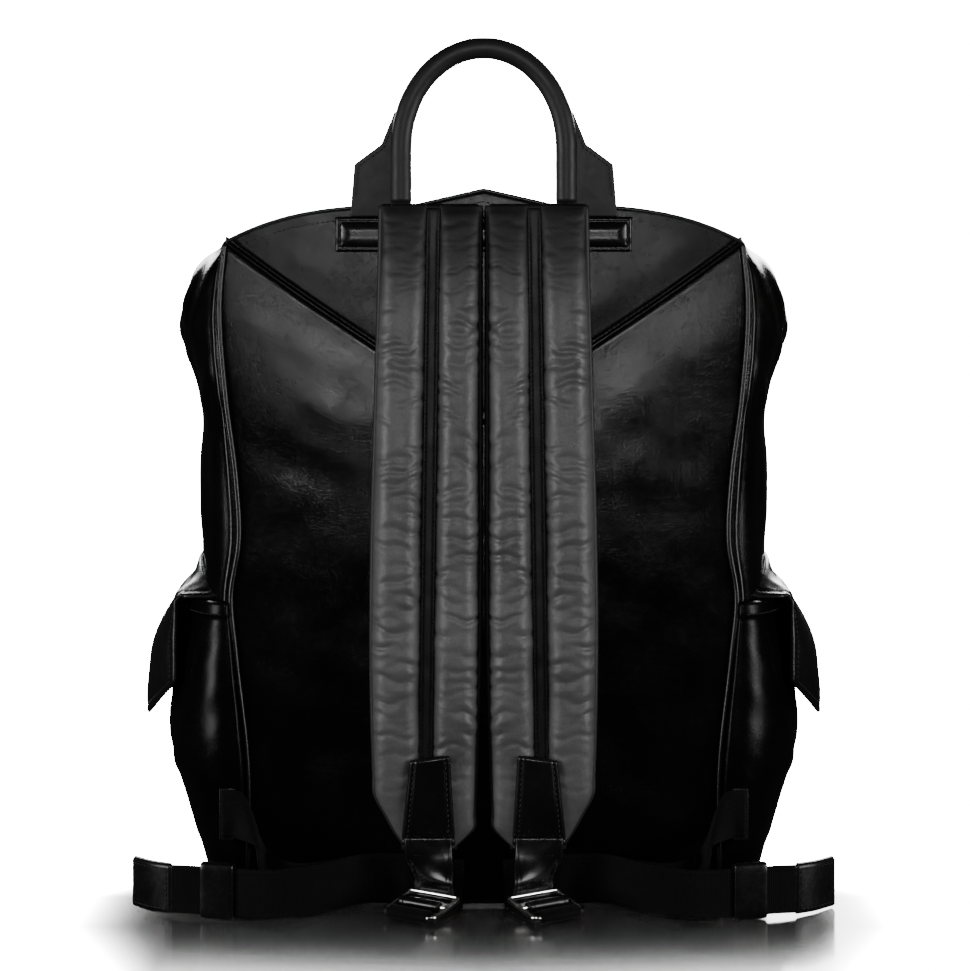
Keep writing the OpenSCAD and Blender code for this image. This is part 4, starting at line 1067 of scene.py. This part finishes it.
def front_pocket():
    s, z = np.meshgrid(np.linspace(0, 1, 120), np.linspace(25, front_rim_h + 1.5, 100))
    u = -np.cos(math.pi * s)
    bulge = np.sqrt(np.clip(1 - abs(u) ** 6, 0, 1)) * front_bulge(z)
    net = np.stack([u * front_pocket_w, front_y(z) + gap + bulge, z], -1)
    out = net_normals(net)
    out *= np.sign(out[..., 1:2] + 1e-6 + 0 * out[..., :1])
    sag = noise(net, (60, 40, 34), 91) * 1.6 + noise(net, (26, 20, 14), 92) * 0.6
    hem = ramp(z, front_rim_h - 9, front_rim_h - 6)
    relief = (sag - 0.8) * np.clip(1 - u**8, 0, 1) * (1 - 0.8 * hem) * ramp(z, 25, 44) + 0.6 * hem
    top = net + out * (leather_t + relief)[..., None]
    sheet("front_pocket_leather", top, net + out * np.minimum(relief, 0)[..., None], "pebbled_leather", "bag",
          replaces=["front_pocket"])
    i = int(np.argmin(abs(z[:, 0] - (front_rim_h - 5.5))))
    stitches("front_pocket_stitches", [(top[i, 2:-2], out[i, 2:-2], 3.2)], "bag")


SIDE_FLAP = [[0.5, 1.5], [5.5, -2.5], [13, -14], [18.5, -23], [22.5, -31], [26.5, -42], [28.7, -53], [30, -72], [30.3, -90]]
FRONT_FLAP = [[0.5, 1.5], [18, 3], [34, 0], [41, -8], [44, -22], [45.5, -42], [46, -62], [45, -84]]
flap_t = 2.8


def flap_profile(line, start):
    """A flap's outer side from its sewn edge to its free edge, and the direction towards the pocket."""
    path = route([[start, 1.5, 0], *[[a, b, 0] for a, b in line]], 1.5)[:, :2]
    d = unit(np.gradient(path, axis=0))
    return path, np.stack([d[:, 1], -d[:, 0]], 1)


def side_flap(side, k):
    """A shell: sewn to the wall along a bow, its ends hug the pocket, its middle stands off and ends in a point."""
    s = np.linspace(0, 1, 90)
    off = abs(2 * s - 1)
    y = -64 + 128 * s
    mid, droop = 1 - off**2, -5 * off**3
    y_root = y - 9 * (1 - s) ** 4 + 5 * s**4
    half = (front_y(200) - back_y(200)) / 2
    turn = np.degrees(np.arccos(np.clip(((front_y(200) + back_y(200)) / 2 - y_root) / half, -1, 1)))
    wall_x = side_point(turn, 200 + 0 * s)[..., 0]
    rows = [
        np.stack([wall_x + 0.4, y_root, 205.6 + 15 * mid + droop], 1),
        np.stack([wall_x + 2.2, y_root, 204.5 + 14.2 * mid + droop], 1),
        np.stack([195.2 + 0 * s, (y + y_root) / 2, 204.5 + 5 * mid + droop], 1),
    ]
    for a, b in SIDE_FLAP:
        e = min(a, 4.6)
        reach = 1 - 0.42 * off**2.2
        h = -8 + (b + 8) * reach if b < -8 else b + 0 * s
        rows.append(np.stack([198 + e + (a - e) * (1 - off**2.2), y, 203 + h + droop + (1.5 * mid if b > 0 else 0)], 1))
    p = route([row.ravel() for row in rows], 1.3).reshape(-1, len(s), 3)
    out = net_normals(p)
    out *= np.sign(out[..., :1] + 0.3 * out[..., 2:] + 1e-6)
    reach = np.concatenate([[0], np.cumsum(np.linalg.norm(np.diff(p[:, 45], axis=0), axis=1))])
    t = (reach / reach[-1])[:, None]
    span = ramp(t, 0.06, 0.2) * ramp(1 - t, 0.0, 0.05)
    lean = p @ np.array([[1, 0, 0.6], [0, 1, 0.2], [-0.5, 0.1, 1]])
    relief = noise(lean, (34, 26, 22), 101) * 1.1 * span + noise(p, 7, 102) * 0.12
    crumple = np.exp(-((t - 0.22) / 0.12) ** 2) * ramp(off, 0.35, 0.8)[None, :]
    relief = relief + crumple * noise(lean, (30, 8, 5), 103) * 1.3
    ends = 128 * np.minimum(s, 1 - s)[None, :]
    fromedge = np.minimum(ends, (1 - t) * reach[-1] * (1 - 0.3 * off[None, :]))
    furrow = 0.5 * np.exp(-((fromedge - 4.2) / 0.8) ** 2)
    lip = 0.35 * (1 - ramp(fromedge, 1.2, 3.4))
    outer = p + out * (relief + lip - furrow)[..., None]
    inner = p + out * (np.minimum(relief, 0.3) - flap_t)[..., None]
    obj = sheet(f"side_flap_{side}_leather", mirrored(outer, k), mirrored(inner, k), "smooth_leather", None,
                replaces=[f"side_flap_{side}"] + (["flap_roots"] if side == "left" else []))
    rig.blend(obj, "bag", f"flap_{side}", start=(k * 0.1945, 0, 0.2035), end=(k * 0.2015, 0, 0.2035))
    first = int(np.argmax(p[:, 45, 0] > 203.5))
    last = int(np.argmin(abs(fromedge[:, 45] - 4.2)))
    cols = [int(np.argmin(abs(ends[0, :45] - 4.2))), 89 - int(np.argmin(abs(ends[0, :45] - 4.2)))]
    lines = [(outer[first:last, c], out[first:last, c], 3.2) for c in cols]
    lines.append((outer[last, cols[0]:cols[1]], out[last, cols[0]:cols[1]], 3.2))
    stitches(f"side_flap_stitches_{side}", [(mirrored(a, k), mirrored(b, k), c) for a, b, c in lines], f"flap_{side}")


def front_flap():
    hinge = (88, 211)
    path, inward = flap_profile(FRONT_FLAP, -6.4)
    n = len(path)
    s, t = np.meshgrid(np.linspace(-1, 1, 120), np.linspace(0, 1, n))
    rel = path[:, 1][:, None] + 0 * s
    rel = np.where(rel < -8, -8 + (rel + 8) * (1 - 0.28 * abs(s)), rel)
    p = np.stack([108 * s, hinge[0] + path[:, 0][:, None] + 0 * s, hinge[1] + rel], -1)
    d = np.stack([0 * s, inward[:, 0][:, None] + 0 * s, inward[:, 1][:, None] + 0 * s], -1)
    relief = noise(p, (45, 30, 34), 111) * 0.8 * ramp(t, 0.1, 0.4)
    fromedge = np.minimum(108 * (1 - abs(s)), (1 - t) * 120)
    furrow = 0.45 * np.exp(-((fromedge - 4.0) / 0.8) ** 2)
    outer = p + d * (furrow - relief)[..., None]
    inner = p + d * (flap_t - relief)[..., None]
    obj = sheet("front_flap_leather", outer, inner, "smooth_leather", None, replaces=["front_flap"])
    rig.blend(obj, "bag", "flap_front", start=(0, 0.0845, 0.2115), end=(0, 0.0915, 0.2115))
    first = int(np.argmin(abs(path[:, 0] - 24)))
    row = int(np.argmin(abs(t[:, 0] - (1 - 4 / 120))))
    col = [int(round(0.037 / 2 * 119)), int(round((1 - 0.037 / 2) * 119))]
    rows = [(outer[first:row + 1, c], -d[first:row + 1, c], 3.2) for c in col]
    rows.append((outer[row, col[0]:col[1] + 1], -d[row, col[0]:col[1] + 1], 3.2))
    stitches("front_flap_stitches", rows, "flap_front")


# ---------------------------------------------------------------- zip
zip_z, zip_y, mouth_x = 421.5, -8.8, 122


def zip_half(word, face):
    """One half of the mouth: the leather strip, its stitching, the tape and its row of teeth."""
    body = f"zip_{word}"
    far = -60 if face < 0 else 43
    edge = far - face * 36
    s, t = np.meshgrid(np.linspace(-mouth_x, mouth_x, 90), np.linspace(0, 1, 18))
    y = far + (edge - far) * t
    p = np.stack([s, y, 0 * s + zip_z], -1)
    fold = 0.5 * np.exp(-(((1 - t) * 36 - 1.6) / 1.6) ** 2)
    top = p + np.stack([0 * s, 0 * s, 1.0 + fold + 0.2 * noise(p, (40, 20, 20), 121)], -1)
    sheet(f"zip_facing_{word}_leather", top, p - [0, 0, 1.1], "smooth_leather", body, replaces=[f"zip_facing_{word}"])
    x = np.linspace(-mouth_x + 3, mouth_x - 3, 60)
    rows = [(np.stack([x, 0 * x + edge + face * 4.2, 0 * x + zip_z + 1.25], 1), (0, 0, 1), 3.2)]
    stitches(f"zip_stitches_{word}", rows, body)
    points, faces = [], []
    tooth = np.array([[-0.62, 0.0], [0.62, 0.0], [0.62, 1.5], [0.42, 2.6], [-0.42, 2.6], [-0.62, 1.5]])
    inner = zip_y + face * 0.8
    for x in np.arange(-mouth_x + 1.2, mouth_x - 1, 2.4) + (0.6 if face < 0 else -0.6):
        first = len(points)
        for z in (-1.15, 1.15):
            points += [(x + a, inner + face * (2.6 - b), zip_z + z) for a, b in tooth]
        faces += [[first + i for i in range(6)], [first + 6 + i for i in range(6)]]
        faces += [[first + i, first + (i + 1) % 6, first + 6 + (i + 1) % 6, first + 6 + i] for i in range(6)]
    piece(f"zip_teeth_{word}", points, faces, "zip_metal", body, uv=np.array(points)[:, :2]).data.shade_flat()
    y0, y1 = inner + face * 1.6, edge + face * 3
    s, t = np.meshgrid(np.linspace(-mouth_x, mouth_x, 60), np.linspace(0, 1, 8))
    p = np.stack([s, y0 + (y1 - y0) * t, 0 * s + zip_z], -1)
    sheet(f"zip_tape_{word}_cloth", p + [0, 0, 0.35], p - [0, 0, 0.35], "zip_tape", body, replaces=[f"zip_tape_{word}"])


# ---------------------------------------------------------------- what the CAD already shapes well
def dress_cad():
    """CAD nodes that stay, with their slot's material."""
    slot_of = {s["node"]: s["material_slot"] for s in frame["record"]["subparts"]}
    for name, obj in frame["nodes"].items():
        material = MATERIAL[slot_of[name]]
        for i in range(len(obj.material_slots)):
            obj.material_slots[i].material = material


# ---------------------------------------------------------------- studio
def studio():
    scene = bpy.context.scene
    floor = bpy.data.meshes.new("floor")
    floor.from_pydata([(-6, -4, 0), (6, -4, 0), (6, 9, 0), (-6, 9, 0)], [], [(0, 1, 2, 3)])
    obj = bpy.data.objects.new("floor", floor)
    scene.collection.objects.link(obj)
    s = Shader("floor")
    # Round the bag's footprint the floor is opaque, glossy and dark, fading with distance into the white backdrop: the
    # bag's reflection in it is real, the dark zone's shape is a painted shadow and reflection
    place = s.add("SeparateXYZ", Vector=s.place())
    side = s.math("ABSOLUTE", place.outputs[0])
    wide = s.math("MULTIPLY", s.math("MAXIMUM", s.math("SUBTRACT", side, 0.193), 0.0), 110.0)
    front = s.math("MAXIMUM", s.math("SUBTRACT", s.math("MULTIPLY", place.outputs[1], -1.0), 0.132), 0.0)
    behind = s.math("MAXIMUM", s.math("MULTIPLY", s.math("ADD", place.outputs[1], 0.06), 2.0), 0.0)
    deep = s.math("ADD", front, behind)
    far = s.math("ADD", s.math("MULTIPLY", deep, 48.0), s.math("ADD", wide, s.math("MULTIPLY", side, 5.0)))
    clear = s.math("MINIMUM", s.math("POWER", 2.718, s.math("SUBTRACT", far, 8.8)), 1.0)
    clear = s.math("MAXIMUM", clear, s.math("SUBTRACT", 1.0, s.add("LightPath").outputs["Is Camera Ray"]))
    gloss = s.add("BsdfGlossy", Color=grey(0.45), Roughness=s.remap(s.noise(s.place(), 40.0), 0.3, 0.7, 0.1, 0.16)).outputs[0]
    matt = s.add("BsdfDiffuse", Color=grey(0.7)).outputs[0]
    near = s.add("MixShader", _0=0.02, _1=gloss, _2=matt).outputs[0]
    both_parts = s.add("MixShader", _0=clear, _1=near, _2=s.add("BsdfTransparent").outputs[0]).outputs[0]
    s.tree.links.new(both_parts, s.tree.nodes["Material Output"].inputs["Surface"])
    floor.materials.append(s.material)
    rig.stage(obj)

    world = bpy.data.worlds.new("world")
    scene.world = world
    world.use_nodes = True
    tree = world.node_tree
    for node in list(tree.nodes):
        tree.nodes.remove(node)
    out = tree.nodes.new("ShaderNodeOutputWorld")
    mix = tree.nodes.new("ShaderNodeMixShader")
    rays = tree.nodes.new("ShaderNodeLightPath")
    seen, light = tree.nodes.new("ShaderNodeBackground"), tree.nodes.new("ShaderNodeBackground")
    seen.inputs["Color"].default_value = (1, 1, 1, 1)
    light.inputs["Color"].default_value = (1, 1, 1, 1)
    light.inputs["Strength"].default_value = 0.012
    seen.inputs["Strength"].default_value = 40
    tree.links.new(rays.outputs["Is Camera Ray"], mix.inputs[0])
    tree.links.new(light.outputs[0], mix.inputs[1])
    tree.links.new(seen.outputs[0], mix.inputs[2])
    tree.links.new(mix.outputs[0], out.inputs[0])

    def softbox(name, at, size, power, aim=(0, 0, 0.25)):
        lamp = bpy.data.lights.new(name, "AREA")
        lamp.shape, lamp.size, lamp.size_y, lamp.energy = "RECTANGLE", *size, power
        obj = bpy.data.objects.new(name, lamp)
        scene.collection.objects.link(obj)
        obj.location = at
        obj.rotation_euler = (Vector(aim) - Vector(at)).to_track_quat("-Z", "Y").to_euler()

    softbox("key", (0, -2.1, 0.8), (0.34, 0.14), 15, (0, 0, 0.36))
    for word, k in (("left", -1), ("right", 1)):
        softbox(f"side_{word}", (1.8 * k, -0.9, 0.35), (0.6, 0.9), 34, (0, -0.05, 0.25))
        softbox(f"back_{word}", (0.9 * k, 1.6, 1.0), (0.6, 0.5), 15, (0.19 * k, 0, 0.2))

    softbox("far_side", (0.5, 2.3, 0.9), (1.4, 1.0), 45)

    camera = bpy.data.cameras.new("camera")
    obj = bpy.data.objects.new("camera", camera)
    scene.collection.objects.link(obj)
    camera.sensor_width = 36
    camera.lens = 36 * 2308 / 970
    obj.location = (0, -(1500 + 77) * MM, 0.392)
    obj.rotation_euler = (math.radians(90), 0, 0)
    camera.shift_x = 1.25 / 970
    camera.shift_y = -185.5 / 970
    scene.camera = obj


# ---------------------------------------------------------------- the whole
panels()
gussets()
piping_and_hems()
for side, k in SIDES.items():
    strap(side, k)
    band(side, k)
    buckle(side, k)
    webbing(side, k)
    keeper(side, k)
    side_pocket(side, k)
    side_flap(side, k)
anchor_tabs()
handle()
strap_tops()
front_pocket()
front_flap()
zip_half("back", -1)
zip_half("front", 1)
dress_cad()
studio()

with open("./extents.json", "w") as out:
    boxes = {"cad": cad_box, "visual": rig.bounds()}
    json.dump({k: [[float(x) for x in corner] for corner in v] for k, v in boxes.items()}, out)
